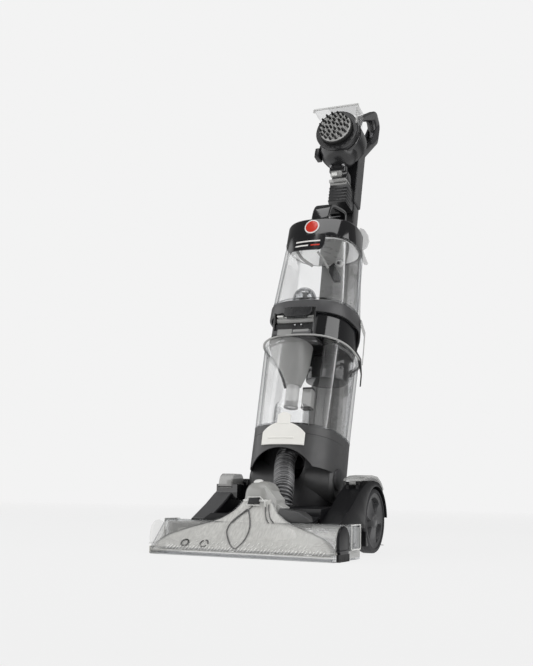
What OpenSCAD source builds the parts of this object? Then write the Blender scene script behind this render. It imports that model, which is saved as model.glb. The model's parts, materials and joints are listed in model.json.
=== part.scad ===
// Upright carpet cleaner: a wheeled base with a clear nozzle, two brush rolls and a pump,
// and an upright that leans on the wheel axle and carries two tanks, a handle and a hand tool.
// Base parts use machine axes: X across, Y backwards, Z up from the floor.
// Upright parts use the upright's own axes: X across, Y backwards, Z along its length.

/* [Stance] */
// How far the upright leans back when parked, in degrees
lean = 13.6; // [8:0.1:16]
// Wheel radius
wheel_r = 63; // [60:1:66]
// Wheel axle behind the nozzle datum
axle_y = 114; // [110:1:120]

/* [Base] */
// Width of the clear nozzle
nozzle_w = 356; // [340:2:360]
// Distance of the nozzle's front edge ahead of the datum
nozzle_front = 197; // [192:1:200]
// Height of the nozzle's top edge
nozzle_h = 61; // [58:1:64]
// Half distance between the outer faces of the side pods
pod_out = 150; // [149:1:152]
// Radius of a brush roll over its bristles
roll_r = 21; // [18:0.5:21.5]

/* [Tanks] */
// Half width of the upright at its lower seam
low_half_w = 90; // [86:1:91]
// Half depth of the upright at its lower seam
low_half_d = 101; // [98:1:102]
// Half width of the upright at the top of the clean tank
top_half_w = 79; // [76:1:82]
// Half depth of the upright at the top of the clean tank
top_half_d = 69; // [66:1:70]
// Squareness exponent of the tank outline, where 1 is an ellipse
square = 0.78; // [0.7:0.02:0.9]
// Wall of the clear tanks
tank_wall = 3; // [2.5:0.5:4]

/* [Handle] */
// Width of the stem
stem_w = 44; // [40:1:46]
// Width of the D grip
grip_w = 34; // [30:1:38]

/* [Hand tool] */
// Radius of the hand tool's round head
head_r = 51; // [48:1:53]
// Number of bristles in the outer row of the hand tool
head_bristles = 16; // [10:1:18]

/* [Hidden] */
$fn = 48;
skin = 3;
gap = 0.3;
// heights along the upright
seam = 150;
rim_h = 331;
lid_low = 394;
lid_top = 421;
shelf_top = 424;
cap_low = 572;
cap_top = 626;
spine_top = 640;
sleeve_low = 752;
// section centres, lower seam and cap top
low_mid = -60.5;
top_mid = -53;
// stem section
stem_front = 41;
stem_back = 75;
// tool
head_h = 891;
head_v = -52;
// handle corner that is furthest back
corner_v = 180;
corner_h = 1070;
corner_r = 28;
// brush rolls
roll_z = 26;
roll_front_y = -136;
roll_back_y = -92;
motor_y = -42;
motor_z = 44;
belt_x = 106;
roll_belt_x = -150;
belt_w = 8;
motor_groove = 6.5;
roll_groove = 9;
// axle
pin_r = 5;
run_fit = 0.06;
wheel_in = 122;
wheel_out = 148;
// pods
pod_in = 110.5;
// vacuum motor and its fan
fan_v = -20;
fan_r = 48;
axle_z = wheel_r;
rear_y = axle_y + corner_v * cos(lean) + corner_h * sin(lean) + corner_r;
mid_y = (rear_y - nozzle_front) / 2;

// route of the vacuum hose in machine axes, from the body's mouth to the elbow
hose_r = 21;
hose_path = [[2, 38, 178], [2, 26, 166], [3, 8, 153], [6, -10, 142], [9, -32, 130], [12, -54, 121]];
hose_end = [13, -60, 119];

// ---------- frames ----------
module at_base() translate([0, -mid_y, 0]) children();
module at_upright() translate([0, axle_y - mid_y, axle_z]) rotate([-lean, 0, 0]) children();
module both_sides() {
    children();
    mirror([1, 0, 0]) children();
}
// extrude a (Y, Z) outline across X
module across(x0, x1) translate([x0, 0, 0]) rotate([90, 0, 90]) linear_extrude(x1 - x0) children();
// a cylinder along X between two places
module bar(x0, x1, y, z, r) translate([x0, y, z]) rotate([0, 90, 0]) cylinder(h = x1 - x0, r = r);
module block(x0, x1, y0, y1, z0, z1) translate([x0, y0, z0]) cube([x1 - x0, y1 - y0, z1 - z0]);

// ---------- lofted sections ----------
function spow(x, e) = sign(x) * pow(abs(x), e);
function mix(a, b, k) = a + (b - a) * k;
function rise(h) = max(0, (h - seam) / (cap_top - seam));
// a level is [height, half width, half depth, centre, slope towards the back]
function level(h, grow = 0, slope = 0) = [h, mix(low_half_w, top_half_w, rise(h)) + grow,
    mix(low_half_d, top_half_d, rise(h)) + grow, mix(low_mid, top_mid, rise(h)), slope];
function ring(l, n) = [for (i = [0:n - 1])
    let (t = 360 * i / n, y = l[3] + l[2] * spow(sin(t), square))
    [l[1] * spow(cos(t), square), y, l[0] + l[4] * (y - l[3] + l[2])]];
module loft(levels, n = 48) {
    count = len(levels);
    points = [for (l = levels) each ring(l, n)];
    sides = [for (k = [0:count - 2], i = [0:n - 1])
        let (a = k * n + i, b = k * n + (i + 1) % n)
        each [[a, a + n, b], [b, a + n, b + n]]];
    polyhedron(points, concat([[for (i = [0:n - 1]) i]], sides,
        [[for (i = [n - 1:-1:0]) (count - 1) * n + i]]));
}

// the closed shape of the upright's body between two heights
module trunk(h0, h1, grow = 0, n = 48) loft([level(h0, grow), level(h1, grow)], n);

// ---------- base ----------
module base_chassis() color([0.12, 0.12, 0.13]) at_base() {
    ear_r = 22;
    difference() {
        union() {
            block(-110, 110, -66, 96, 14, 18);
            both_sides() block(103, 110, -20, 135, 14, 48);
            both_sides() bar(103, 110, axle_y, axle_z, ear_r);
            both_sides() block(103, 110, axle_y - ear_r, axle_y + ear_r, 40, axle_z);
            block(-103, 103, 92, 96, 18, 30);
        }
        both_sides() bar(100, 112, axle_y, axle_z, pin_r);
    }
}
// side outline of a pod, as (Y, Z) points
pod_line = [[-98, 58], [-94, 62], [-40, 88], [13, 118], [40, 131], [70, 138.5], [100, 140.5],
    [128, 137], [150, 126], [166, 106], [174, 82], [176, 58], [172, 30], [160, 14], [136, 14],
    [136, 50], [92, 50], [60, 16], [50, 16], [50, 50]];
deck_line = [[-127, 57], [-127, 61], [-92, 73], [-8, 73], [-8, 70], [-91, 70]];
port_y0 = -2;
port_y1 = 57;
port_z = 98;
// hinge of the port's cap and pivot of the foot pedal, as Y and Z
cap_y = 49;
cap_z = 133;
pedal_y = 27;
pedal_z = 134;
module pod() {
    difference() {
        across(pod_in, pod_out) polygon(pod_line);
        across(pod_in + skin, pod_out - skin) offset(delta = -skin) polygon(pod_line);
        bar(wheel_in - 2, pod_out + 1, axle_y, axle_z, wheel_r + 4);
        bar(pod_in - 1, wheel_in, axle_y, axle_z, 20);
    }
    difference() {
        bar(wheel_in - 5, pod_out, axle_y, axle_z, wheel_r + 6.5);
        bar(wheel_in - 2, pod_out + 1, axle_y, axle_z, wheel_r + 4);
        bar(pod_in, wheel_in, axle_y, axle_z, 20);
        block(wheel_in - 6, pod_out + 1, axle_y - 80, axle_y + 80, -10, axle_z + 5);
    }
}
module base_cover() color([0.06, 0.06, 0.07]) at_base() {
    difference() {
        both_sides() pod();
        block(-pod_out - 1, -pod_in + 8, port_y0, port_y1, port_z, 150);
        block(-pod_out - 1, -pod_in + 8, port_y1 - 1, port_y1 + 4, 124, 150);
    }
    difference() {
        across(-pod_in, pod_in) polygon(deck_line);
        block(86, pod_in + 1, -90, -10, 60, 90);
        block(-29, 29, -122, -98, 50, 80);
    }
    for (x = [118, 138]) difference() {
        union() {
            bar(x, x + 6, pedal_y, pedal_z, 3.6);
            block(x, x + 6, pedal_y - 2.5, pedal_y + 2.5, 122, pedal_z);
        }
        bar(x - 1, x + 7, pedal_y, pedal_z, 2.4 + run_fit);
    }
}
module belt_cover() color([0.16, 0.16, 0.18]) at_base() {
    front = [[-92, 73.2], [-84, 86], [-24, 90], [-12, 73.2]];
    inner = [[-89, 73], [-82, 83], [-26, 87], [-16, 73]];
    difference() {
        across(36, pod_in - 0.3) polygon(front);
        across(39, pod_in - 3) polygon(inner);
    }
    difference() {
        block(86.3, pod_in - 0.3, -89.7, -10.3, 62, 73.2);
        block(89, pod_in - 3, -87, -13, 61, 74);
    }
}
module nozzle_sole() color([0.15, 0.15, 0.16]) at_base() difference() {
    block(-nozzle_w / 2, nozzle_w / 2, -nozzle_front, -66.3, 0, 4);
    block(-168, 168, -186, -178, -1, 5);
    block(-170, 170, -160, -69, -1, 5);
}
module brush_housing() color([0.1, 0.1, 0.11]) at_base() difference() {
    block(-nozzle_w / 2, nozzle_w / 2, -128, -66.3, 4, 56);
    block(-172, 172, -129, -69.3, 3, 53);
    block(belt_x - 8, belt_x + belt_w + 4, -70, -66, 18, 60);
    both_sides() bar(170, 180, roll_back_y, roll_z, pin_r);
}
// nozzle hood outline, outside and inside
hood_out = [[-nozzle_front, 4], [-140, nozzle_h], [-128, nozzle_h], [-128, 4]];
hood_in = [[-nozzle_front + 4, 3], [-139, nozzle_h - 2.5], [-127, nozzle_h - 2.5], [-127, 3]];
throat_low = 120;
module nozzle_hood() color([0.8, 0.82, 0.84, 0.5]) at_base() difference() {
    across(-nozzle_w / 2, nozzle_w / 2) polygon(hood_out);
    across(-nozzle_w / 2 + 3, nozzle_w / 2 - 3) polygon(hood_in);
    block(-throat_low + 2.5, throat_low - 2.5, -137.5, -130.5, nozzle_h - 4, nozzle_h + 1);
    both_sides() bar(170, 180, roll_front_y, roll_z, pin_r);
}
module throat_shape(d) hull() {
    block(-throat_low + d, throat_low - d, -140 + d, -128 - d, nozzle_h, nozzle_h + 1);
    block(-31 + d, 31 - d, -121 + d, -97 - d, 99, 100);
}
module nozzle_throat() color([0.8, 0.82, 0.84, 0.5]) at_base() difference() {
    throat_shape(0);
    throat_shape(2.5);
    block(-throat_low + 2.5, throat_low - 2.5, -137.5, -130.5, nozzle_h - 1, nozzle_h + 1);
    block(-28.5, 28.5, -118.5, -99.5, 98, 101);
}
module duct_elbow() color([0.62, 0.63, 0.64, 0.7]) at_base() difference() {
    union() {
        block(-32, 36, -122, -48, 100, 112);
        intersection() {
            translate([2, -83, 92]) sphere(r = 42);
            block(-32, 36, -122, -48, 112, 140);
        }
        block(36, 50, -96.6, -84, 90.4, 100);
        block(30, 50, -96.6, -84, 100, 104);
    }
    block(-28.5, 28.5, -118.5, -99.5, 99, 106);
    block(-28.5, 32, -100, -52, 103, 109);
    tube([hose_path[4], hose_path[5], hose_end + [0.6, -6, -2]], hose_r + 0.5, 24);
    tube([hose_end + [0.6, -6, -2], [10, -84, 110]], hose_r - 5, 24);
    block(-16, 4, -123, -118.4, 101, 108);
}
module nozzle_latch() color([0.07, 0.07, 0.08]) at_base() {
    block(-15.7, 3.7, -124, -119.5, 101.3, 107.7);
}
module edge_brushes() color([0.05, 0.05, 0.06]) at_base() both_sides() {
    half = 27;
    across(nozzle_w / 2 + 0.2, nozzle_w / 2 + 6) translate([-163.5, 0]) {
        translate([-half, 12]) square([2 * half, 26]);
        intersection() {
            translate([0, 24]) circle(r = 30.5);
            translate([-half, 38]) square([2 * half, 30]);
        }
    }
    for (i = [0:8])
        translate([nozzle_w / 2 + 3, -187.5 + i * 6, 0]) cylinder(h = 12, r = 2.2);
}
module edge_brackets() color([0.85, 0.86, 0.88, 0.5]) at_base() both_sides() difference() {
    block(nozzle_w / 2 + 0.2, nozzle_w / 2 + 8, -134, -86, 18, 62);
    block(nozzle_w / 2 + 3, nozzle_w / 2 + 9, -130, -90, 22, 58);
}
// a brush roll along X with helical rows of tufts
module roll(y, grooves, turn) translate([0, y, roll_z]) rotate([0, 90, 0]) {
    core_r = 12;
    difference() {
        union() {
            translate([0, 0, -166]) cylinder(h = 332, r = core_r);
            for (end = [-1, 1])
                translate([0, 0, end * 169 - 3]) cylinder(h = 6, r = pin_r - 0.5);
        }
        for (g = grooves)
            translate([0, 0, g - 1]) difference() {
                cylinder(h = belt_w + 2, r = core_r + 1);
                cylinder(h = belt_w + 2, r = roll_groove);
            }
    }
    for (row = [0:1], i = [-13:13])
        if (len([for (g = grooves) if (abs(i * 12 - g - belt_w / 2) < 9) g]) == 0)
            rotate([0, 0, row * 180 + turn * i * 24]) translate([core_r - 1.5, 0, i * 12])
                rotate([0, 90, 0]) cylinder(h = roll_r - core_r + 1.5, r = 2.6, $fn = 16);
}
module brush_roll_front() color([0.2, 0.2, 0.21]) at_base() roll(roll_front_y, [roll_belt_x], 1);
module brush_roll_rear() color([0.2, 0.2, 0.21]) at_base() roll(roll_back_y, [roll_belt_x, belt_x], -1);
module brush_motor() color([0.5, 0.5, 0.52]) at_base() {
    bar(14, 85.4, motor_y, motor_z, 23);
    block(20, 82, motor_y - 12, motor_y + 12, 18, motor_z - 18);
    bar(8, 14, motor_y, motor_z, 9);
}
module motor_pulley() color([0.6, 0.58, 0.4]) at_base() difference() {
    union() {
        bar(85.8, belt_x + belt_w + 2, motor_y, motor_z, 4);
        bar(belt_x - 2, belt_x + belt_w + 2, motor_y, motor_z, 9);
    }
    difference() {
        bar(belt_x - 0.5, belt_x + belt_w + 0.5, motor_y, motor_z, 10);
        bar(belt_x - 1, belt_x + belt_w + 1, motor_y, motor_z, motor_groove);
    }
}
// a flat belt round two pulleys
module belt(x, y0, z0, r0, y1, z1, r1, t) across(x, x + belt_w) difference() {
    hull() {
        translate([y0, z0]) circle(r = r0 + t);
        translate([y1, z1]) circle(r = r1 + t);
    }
    hull() {
        translate([y0, z0]) circle(r = r0);
        translate([y1, z1]) circle(r = r1);
    }
}
module belts() color([0.04, 0.04, 0.04]) at_base() {
    belt(belt_x, motor_y, motor_z, motor_groove + gap, roll_back_y, roll_z, roll_groove + gap, 1.8);
    belt(roll_belt_x, roll_front_y, roll_z, roll_groove + gap, roll_back_y, roll_z,
        roll_groove + gap, 1.8);
}
module pump() color([0.25, 0.25, 0.27]) at_base() {
    block(-96, -56, -58, -18, 18, 48);
    bar(-56, -22, -38, 38, 16);
    translate([-76, -38, 48]) cylinder(h = 12, r = 8);
}
module spray_bar() color([0.3, 0.3, 0.32]) at_base() {
    bar(-110, 110, -133, 53.2, 3.4);
    for (x = [-80, 0, 80]) translate([x, -133, 48.6]) cylinder(h = 4, r = 2.4);
}
module hose_port() color([0.05, 0.05, 0.06]) at_base() {
    difference() {
        block(-pod_out + 4, -pod_in + 10, port_y0 + 1, port_y1 - 1, port_z + 1, 128);
        translate([-123, 22, 108]) cylinder(h = 30, r = 15);
        block(-143.6, -102.4, 40, port_y1, 125, 129);
    }
    for (x = [-pod_out + 4, -102.5]) bar(x, x + 2, cap_y, cap_z, 4);
    for (x = [-pod_out + 4, -102.5]) block(x, x + 2, cap_y - 4, cap_y + 4, 120, cap_z);
    bar(-pod_out + 4, -100.5, cap_y, cap_z, 2);
}
cap_outer = [[2, 128.4], [4, 146], [14, 152], [44, 150], [53, 142], [53, 128.4]];
cap_inner = [[4.5, 128], [6.5, 144], [15, 149.5], [43, 147.5], [50.5, 141], [50.5, 128]];
module port_cap() color([0.6, 0.6, 0.62, 0.6]) at_base() difference() {
    across(-143, -103) polygon(cap_outer);
    across(-140.5, -105.5) polygon(cap_inner);
    bar(-144, -102, cap_y, cap_z, 2 + run_fit);
}
pedal_top = [[24, 142.5], [56, 149], [90, 151], [122, 149], [146, 139], [162, 126]];
pedal_low = [[160, 122.5], [144, 135], [120, 144.8], [90, 147], [58, 145], [24, 138.5]];
module recline_pedal() color([0.6, 0.61, 0.62, 0.7]) at_base() {
    across(113, 149) polygon(concat(pedal_top, pedal_low));
    bar(119, 143, pedal_y, pedal_z, 2.4);
    block(124.5, 137.5, pedal_y - 2.4, pedal_y + 2.4, pedal_z, 142);
}
module axle_pins() color([0.75, 0.75, 0.77]) at_base() both_sides()
    bar(84, wheel_out + 1, axle_y, axle_z, pin_r);
module wheel() difference() {
    union() {
        bar(wheel_in, wheel_out - 2, axle_y, axle_z, wheel_r - 9);
        bar(wheel_in, wheel_out, axle_y, axle_z, 13);
    }
    for (a = [90, 210, 330]) translate([wheel_out - 12, axle_y, axle_z]) rotate([a, 0, 0])
        across(0, 20) polygon([[-9, 18], [9, 18], [20, 42], [-20, 42]]);
    bar(wheel_in - 1, wheel_out + 1, axle_y, axle_z, pin_r + run_fit);
}
module tyre() difference() {
    bar(wheel_in, wheel_out, axle_y, axle_z, wheel_r);
    bar(wheel_in - 1, wheel_out + 1, axle_y, axle_z, wheel_r - 9);
}
module wheel_right() color([0.17, 0.17, 0.18]) at_base() wheel();
module wheel_left() color([0.17, 0.17, 0.18]) at_base() mirror([1, 0, 0]) wheel();
module tyre_right() color([0.1, 0.1, 0.1]) at_base() tyre();
module tyre_left() color([0.1, 0.1, 0.1]) at_base() mirror([1, 0, 0]) tyre();
module base_screws() color([0.3, 0.3, 0.32]) at_base() both_sides()
    for (x = [40, 90], seat = [[-120, 56], [80, 18]])
        translate([x, seat[0], seat[1]]) cylinder(h = 1.6, r = 3.4);

// ---------- upright ----------
arch_r = 105;
module lower_casing() color([0.2, 0.2, 0.21]) at_upright() difference() {
    trunk(22, seam);
    trunk(21, seam - 4, -skin);
    translate([0, 0, -3]) rotate([90, 0, 0]) cylinder(h = 200, r = arch_r, $fn = 96);
    translate([0, low_mid, seam - 5]) cylinder(h = 10, r = 24);
}
module motor_housing() color([0.14, 0.14, 0.15]) at_upright() difference() {
    union() {
        loft([[-26, 66, 60, -28, 0], [0, 80, 68, -34, 0], [140, 82, 70, -34, 0]]);
        both_sides() bar(70, 101, 0, 0, 24);
        both_sides() bar(70, 92, -72, 62, 22);
    }
    loft([[-22, 62, 56, -28, 0], [0, 76.5, 64.5, -34, 0], [137, 78.5, 66.5, -34, 0]]);
    both_sides() bar(60, 103, 0, 0, pin_r + run_fit);
    both_sides() bar(60, 89, 0, 0, 14);
    hose_room(hose_r + 4.5);
}
module vacuum_motor() color([0.45, 0.45, 0.47]) at_upright() translate([0, fan_v, -21.8]) {
    cylinder(h = 92, r = 40);
    translate([0, 0, 92]) cylinder(h = 6, r = 14);
}
module vacuum_fan() color([0.6, 0.6, 0.62]) at_upright() translate([0, fan_v, 77]) {
    cylinder(h = 2, r = fan_r);
    translate([0, 0, 16]) difference() {
        cylinder(h = 2, r = fan_r);
        translate([0, 0, -1]) cylinder(h = 4, r = 22);
    }
    cylinder(h = 18, r = 9);
    for (i = [0:8]) rotate([0, 0, i * 40]) translate([8, -1, 1]) cube([fan_r - 9, 2, 16]);
}
function along(a, b) = (b - a) / norm(b - a);
function heading(p, i) = along(p[max(i - 1, 0)], p[min(i + 1, len(p) - 1)]);
function side_of(d) = let (c = cross([1, 0, 0], d)) c / norm(c);
module tube(path, r, n = 12) {
    points = [for (i = [0:len(path) - 1])
        let (d = heading(path, i), u = side_of(d), s = cross(d, u))
        for (k = [0:n - 1]) path[i] + r * cos(360 * k / n) * u + r * sin(360 * k / n) * s];
    last = (len(path) - 1) * n;
    sides = [for (i = [0:len(path) - 2], k = [0:n - 1])
        let (a = i * n + k, b = i * n + (k + 1) % n) each [[a, a + n, b], [b, a + n, b + n]]];
    polyhedron(points, concat([[for (k = [0:n - 1]) k]], sides, [[for (k = [n - 1:-1:0]) last + k]]));
}
module vacuum_hose() color([0.08, 0.08, 0.08]) at_base() tube(concat(hose_path, [hose_end]), hose_r, 16);
// the hose's route with some room round it, in the upright's axes
module hose_room(r) rotate([lean, 0, 0]) translate([0, -axle_y, -axle_z])
    tube(concat([hose_path[0] + [0, 20, 20]], hose_path), r, 24);
module hose_cuff() color([0.1, 0.1, 0.1]) at_base() difference() {
    tube([hose_path[0] - [0, 1, 1], hose_path[0] + [0, 15, 15]], hose_r + 3, 24);
    tube([hose_path[0] - [0, 3, 3], hose_path[0] + [0, 18, 18]], hose_r + gap, 24);
}
// a thin skin over the front of the upright, cut to an outline in X and Z
module front_skin(h0, h1, from, to) intersection() {
    difference() {
        trunk(h0, h1, to);
        trunk(h0 - 1, h1 + 1, from);
    }
    translate([0, -60, 0]) rotate([90, 0, 0]) linear_extrude(140) children();
}
plate_half = 46;
module release_plate() color([0.9, 0.89, 0.84]) at_upright() {
    front_skin(104, seam, gap, 4) intersection() {
        translate([-plate_half, 104]) square([2 * plate_half, 60]);
        translate([0, 94]) circle(r = 59);
    }
    front_skin(seam, 174, gap, 4) translate([-9, seam]) square([18, 24]);
    bar(-16, 16, -163.5, 104, 1.6);
}
spine_half = 33;
module spine_side(d) polygon([[41.6 - d, 56 - d], [41.6 - d, seam], [18.5 - d, cap_top],
    [18.5 - d, spine_top + d], [84, spine_top + d], [84, 56 - d]]);
module spine() color([0.16, 0.16, 0.17]) at_upright() {
    difference() {
        across(-spine_half, spine_half) spine_side(0);
        across(-29, 29) polygon([[46, 60], [46, seam], [23, cap_top], [23, spine_top - 4],
            [80, spine_top - 4], [80, 60]]);
        block(-stem_w / 2, stem_w / 2, stem_front, stem_back, 620, 650);
    }
    difference() {
        union() {
            trunk(lid_top + 0.5, shelf_top, 0);
            block(-25, 25, 10, 34, lid_top + 0.5, shelf_top);
        }
        across(-29, 29) translate([4, 0]) spine_side(0);
    }
}
// room for the spine behind a piece that slides forward
module spine_room() across(-spine_half - 0.7, spine_half + 0.7) spine_side(0.7);
tube_path = [[38, 80, 70], [38, 80, 300], [38, 80, 500], [38.5, 78, 600], [38.5, 74, 636],
    [34, 68, 656], [28, 62, 676]];
module solution_tube() color([0.85, 0.86, 0.88, 0.4]) at_upright() tube(tube_path, 4, 10);
module cord_gland() color([0.08, 0.08, 0.08]) at_upright() translate([0, 84, 96]) rotate([-90, 0, 0])
    difference() {
        cylinder(h = 14, r = 8);
        translate([0, 0, 2]) cylinder(h = 13, r = 4);
    }

// ---------- recovery tank ----------
module recovery_tank() color([0.85, 0.86, 0.88, 0.4]) at_upright() difference() {
    trunk(seam + gap, rim_h - 4, -0.5);
    trunk(seam + gap + tank_wall, rim_h, -0.5 - tank_wall);
    front_skin(seam, 176, -2.5, 1) translate([-10, seam - 1]) square([20, 27]);
}
rim_flare = 11;
rim_slope = -0.2;
module tank_rim() color([0.85, 0.86, 0.88, 0.5]) at_upright() difference() {
    loft([level(rim_h - 4, -0.5), level(rim_h + 5, rim_flare, rim_slope),
        level(rim_h + 8, rim_flare, rim_slope), level(rim_h + 9, 0)]);
    loft([level(rim_h - 60, -0.5 - tank_wall), level(rim_h + 20, -0.5 - tank_wall)]);
    spine_room();
}
recess_half = 43;
chamber_v = -14;
chamber_r = 38.5;
module separator() color([0.05, 0.05, 0.06]) at_upright() difference() {
    union() {
        trunk(rim_h + 9.2, lid_low, -0.5);
        translate([14, chamber_v, 288]) cylinder(h = 60, r = chamber_r);
    }
    trunk(rim_h + 12, lid_low - 3, -3.5);
    translate([14, chamber_v, 291]) cylinder(h = 60, r = chamber_r - skin);
    block(-recess_half, recess_half, -160, -112, 352, 392);
}
spout_x = -14;
spout_v = -92;
float_x = 25;
float_v = -80;
module funnel() color([0.6, 0.6, 0.6, 0.6]) at_upright() {
    intersection() {
        difference() {
            translate([spout_x, spout_v, 254]) cylinder(h = 72, r1 = 18, r2 = 74);
            translate([spout_x, spout_v, 253.9]) cylinder(h = 74, r1 = 15, r2 = 72);
            translate([14, chamber_v, 200]) cylinder(h = 160, r = chamber_r + 1);
        }
        trunk(240, 330, -4.2);
    }
    translate([spout_x, spout_v, 204]) difference() {
        cylinder(h = 50, r = 16);
        translate([0, 0, -1]) cylinder(h = 52, r = 14);
    }
    translate([spout_x - 2, spout_v, 154]) difference() {
        cylinder(h = 48, r = 36);
        translate([0, 0, -1]) cylinder(h = 50, r = 33.5);
    }
    block(spout_x + 32, float_x + 3, float_v - 3, float_v + 3, 198, 202);
    translate([float_x, float_v, 200]) cylinder(h = 62, r = 2);
    difference() {
        translate([spout_x - 34, spout_v - 3, 200]) cube([68, 6, 5]);
        translate([spout_x, spout_v, 199]) cylinder(h = 7, r = 15);
    }
}
module float_ball() color([0.75, 0.75, 0.76, 0.8]) at_upright() translate([float_x, float_v, 205])
    difference() {
        cylinder(h = 44, r = 12);
        translate([0, 0, -1]) cylinder(h = 46, r = 2 + run_fit);
    }
module tank_lid() color([0.22, 0.22, 0.23]) at_upright() {
    difference() {
        trunk(lid_low + 0.2, lid_top, 8);
        trunk(lid_low, lid_top - 4, 4);
        block(-34, 34, -200, -137, lid_low - 1, lid_top - 3);
        spine_room();
    }
    both_sides() difference() {
        intersection() {
            across(60, 110) polygon([[-26, lid_low + 2], [60, lid_low + 2], [44, 320], [34, 326],
                [10, 372]]);
            trunk(315, lid_low + 0.2, 8);
        }
        trunk(310, lid_low + 5, 4.5);
    }
}
module lid_latch() color([0.05, 0.05, 0.06]) at_upright() front_skin(lid_low + 1, lid_top - 5, 5, 11)
    translate([-31, lid_low + 1]) square([62, 21]);

// ---------- clean tank ----------
module clean_tank() color([0.85, 0.86, 0.88, 0.35]) at_upright() difference() {
    trunk(shelf_top + gap, cap_low, -0.5);
    trunk(shelf_top + gap + tank_wall, cap_low + 1, -0.5 - tank_wall);
}
module tank_cap() color([0.05, 0.05, 0.06]) at_upright() {
    difference() {
        trunk(cap_low + 0.2, cap_top, 0.5);
        trunk(cap_low, cap_top - 4, -2.5);
    }
    front_skin(544, cap_low + 0.2, gap, 2.5) translate([-36, 544]) square([72, 29]);
    front_skin(cap_low, cap_low + 6, -1, 2.5) translate([-36, cap_low]) square([72, 6]);
}
carry = [[-98, cap_top], [-96, 655], [-88, 672], [-72, 684], [2, 712], [12, 706], [12, cap_top]];
carry_in = [[-89, cap_top - 1], [-87, 652], [-80, 665], [-68, 675], [-2, 701], [3, 698],
    [3, cap_top - 1]];
module tank_handle() color([0.04, 0.04, 0.05]) at_upright() difference() {
    across(-20, 20) polygon(carry);
    across(-21, 21) polygon(carry_in);
}
module tank_valve() color([0.85, 0.86, 0.88, 0.5]) at_upright()
    translate([-20, -84, shelf_top + tank_wall + gap]) difference() {
        union() {
            cylinder(h = 24, r = 25);
            translate([0, 0, 24]) sphere(r = 25);
        }
        translate([0, 0, -1]) cylinder(h = 25, r = 22.5);
        translate([0, 0, 24]) sphere(r = 22.5);
        translate([-30, -30, -60]) cube([60, 60, 60]);
    }
badge_h = 603;
module badge() color([0.75, 0.08, 0.07]) at_upright() front_skin(badge_h - 18, badge_h + 18, 0.6, 2.6)
    translate([-4, badge_h]) circle(r = 16.5);

// ---------- stem and handle ----------
module stem() color([0.04, 0.04, 0.05]) at_upright() difference() {
    block(-stem_w / 2, stem_w / 2, stem_front, stem_back, 620, 860);
    block(-stem_w / 2 + skin, stem_w / 2 - skin, stem_front + skin, stem_back - skin, 619, 861);
}
module spot(p, r) translate(p) circle(r = r);
module handle_outline() {
    translate([34, sleeve_low]) square([44, 200]);
    hull() {
        spot([46, 960], 12);
        spot([62, 984], 12);
        spot([corner_v, corner_h], corner_r);
        spot([179, 1040], 24);
        spot([90, 925], 12);
        translate([34, 900]) square([44, 40]);
    }
}
module handle_hole() hull() {
    spot([89, 1000], 12);
    spot([168, 1046], 12);
    spot([98, 958], 12);
    spot([165, 1036], 13);
}
grip_t = 3;
trigger_pin = [190, 1052];
switch_pin = [76.5, 895];
module handle_half() difference() {
    union() {
        across(0, grip_w / 2) difference() {
            handle_outline();
            handle_hole();
        }
        across(0, stem_w / 2 + skin) translate([34, sleeve_low]) square([44, 168]);
    }
    across(-1, grip_w / 2 - skin) difference() {
        offset(delta = -skin) handle_outline();
        offset(delta = skin) handle_hole();
        translate([30, sleeve_low - 1]) square([52, 112]);
    }
    block(-1, stem_w / 2 + gap, stem_front - gap, stem_back + gap, sleeve_low - 1, 861);
    block(-1, stem_w / 2, 37, 75, 862, 917);
    across(grip_w / 2 - grip_t, 30) grip_zone();
    block(-1, 5.5, 170, 188, 1006, 1056);
    block(-1, 9, 74, 83, 880, 910);
    bar(7, 11, switch_pin[0], switch_pin[1], 1 + run_fit);
}
module grip_zone() intersection() {
    difference() {
        offset(delta = 1) handle_outline();
        offset(delta = -1) handle_hole();
    }
    translate([122, 965]) rotate(-30) square([110, 90]);
}
module handle_side() {
    handle_half();
    bar(0, grip_w / 2 - skin + 0.5, trigger_pin[0], trigger_pin[1], 2);
}
module handle_right() color([0.08, 0.08, 0.09]) at_upright() handle_side();
module handle_left() color([0.08, 0.08, 0.09]) at_upright() mirror([1, 0, 0]) handle_side();
module handle_grip() color([0.13, 0.13, 0.14]) at_upright() both_sides()
    across(grip_w / 2 - grip_t + 0.1, grip_w / 2 + 0.6) intersection() {
        offset(delta = -1.5) difference() {
            handle_outline();
            handle_hole();
        }
        translate([124, 967]) rotate(-30) square([106, 86]);
    }
module trigger() color([0.55, 0.56, 0.58]) at_upright() difference() {
    union() {
        across(-4.5, 4.5) polygon([[188, 1054], [176, 1050], [170, 1036], [171, 1016], [176, 1009],
            [179, 1012], [178, 1036], [192, 1048]]);
        bar(-4.5, 4.5, trigger_pin[0], trigger_pin[1], 4.6);
    }
    bar(-5, 5, trigger_pin[0], trigger_pin[1], 2 + run_fit);
}
module power_switch() color([0.5, 0.1, 0.1]) at_upright() {
    across(-8, 8) polygon([[74.5, 883], [79.5, 882.5], [78.6, 895], [79.5, 907.5], [74.5, 907]]);
    bar(-10.5, 10.5, switch_pin[0], switch_pin[1], 1);
}
hook_h = 684;
module cord_hook() color([0.62, 0.63, 0.65, 0.6]) at_upright() {
    translate([0, 75.3, hook_h]) rotate([-90, 0, 0]) cylinder(h = 14, r = 10);
    block(-46, 46, 89.3, 95, hook_h - 9, hook_h + 9);
    both_sides() block(40, 46, 89.3, 101, hook_h - 26, hook_h + 30);
}

// ---------- hand tool ----------
module tool_cradle() color([0.19, 0.19, 0.2]) at_upright() difference() {
    union() {
        block(-21, 21, -11, 33.8, 755, 778);
        block(-21, 21, -11, 40.8, 726, 752 - gap);
        block(-21, 21, -11, 33.8, 750, 756);
        for (i = [0:4]) block(-21.8, 21.8, -11.8, 20, 730 + i * 8, 734 + i * 8);
    }
    translate([0, 8, 738]) cylinder(h = 50, r = 13);
}
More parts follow.
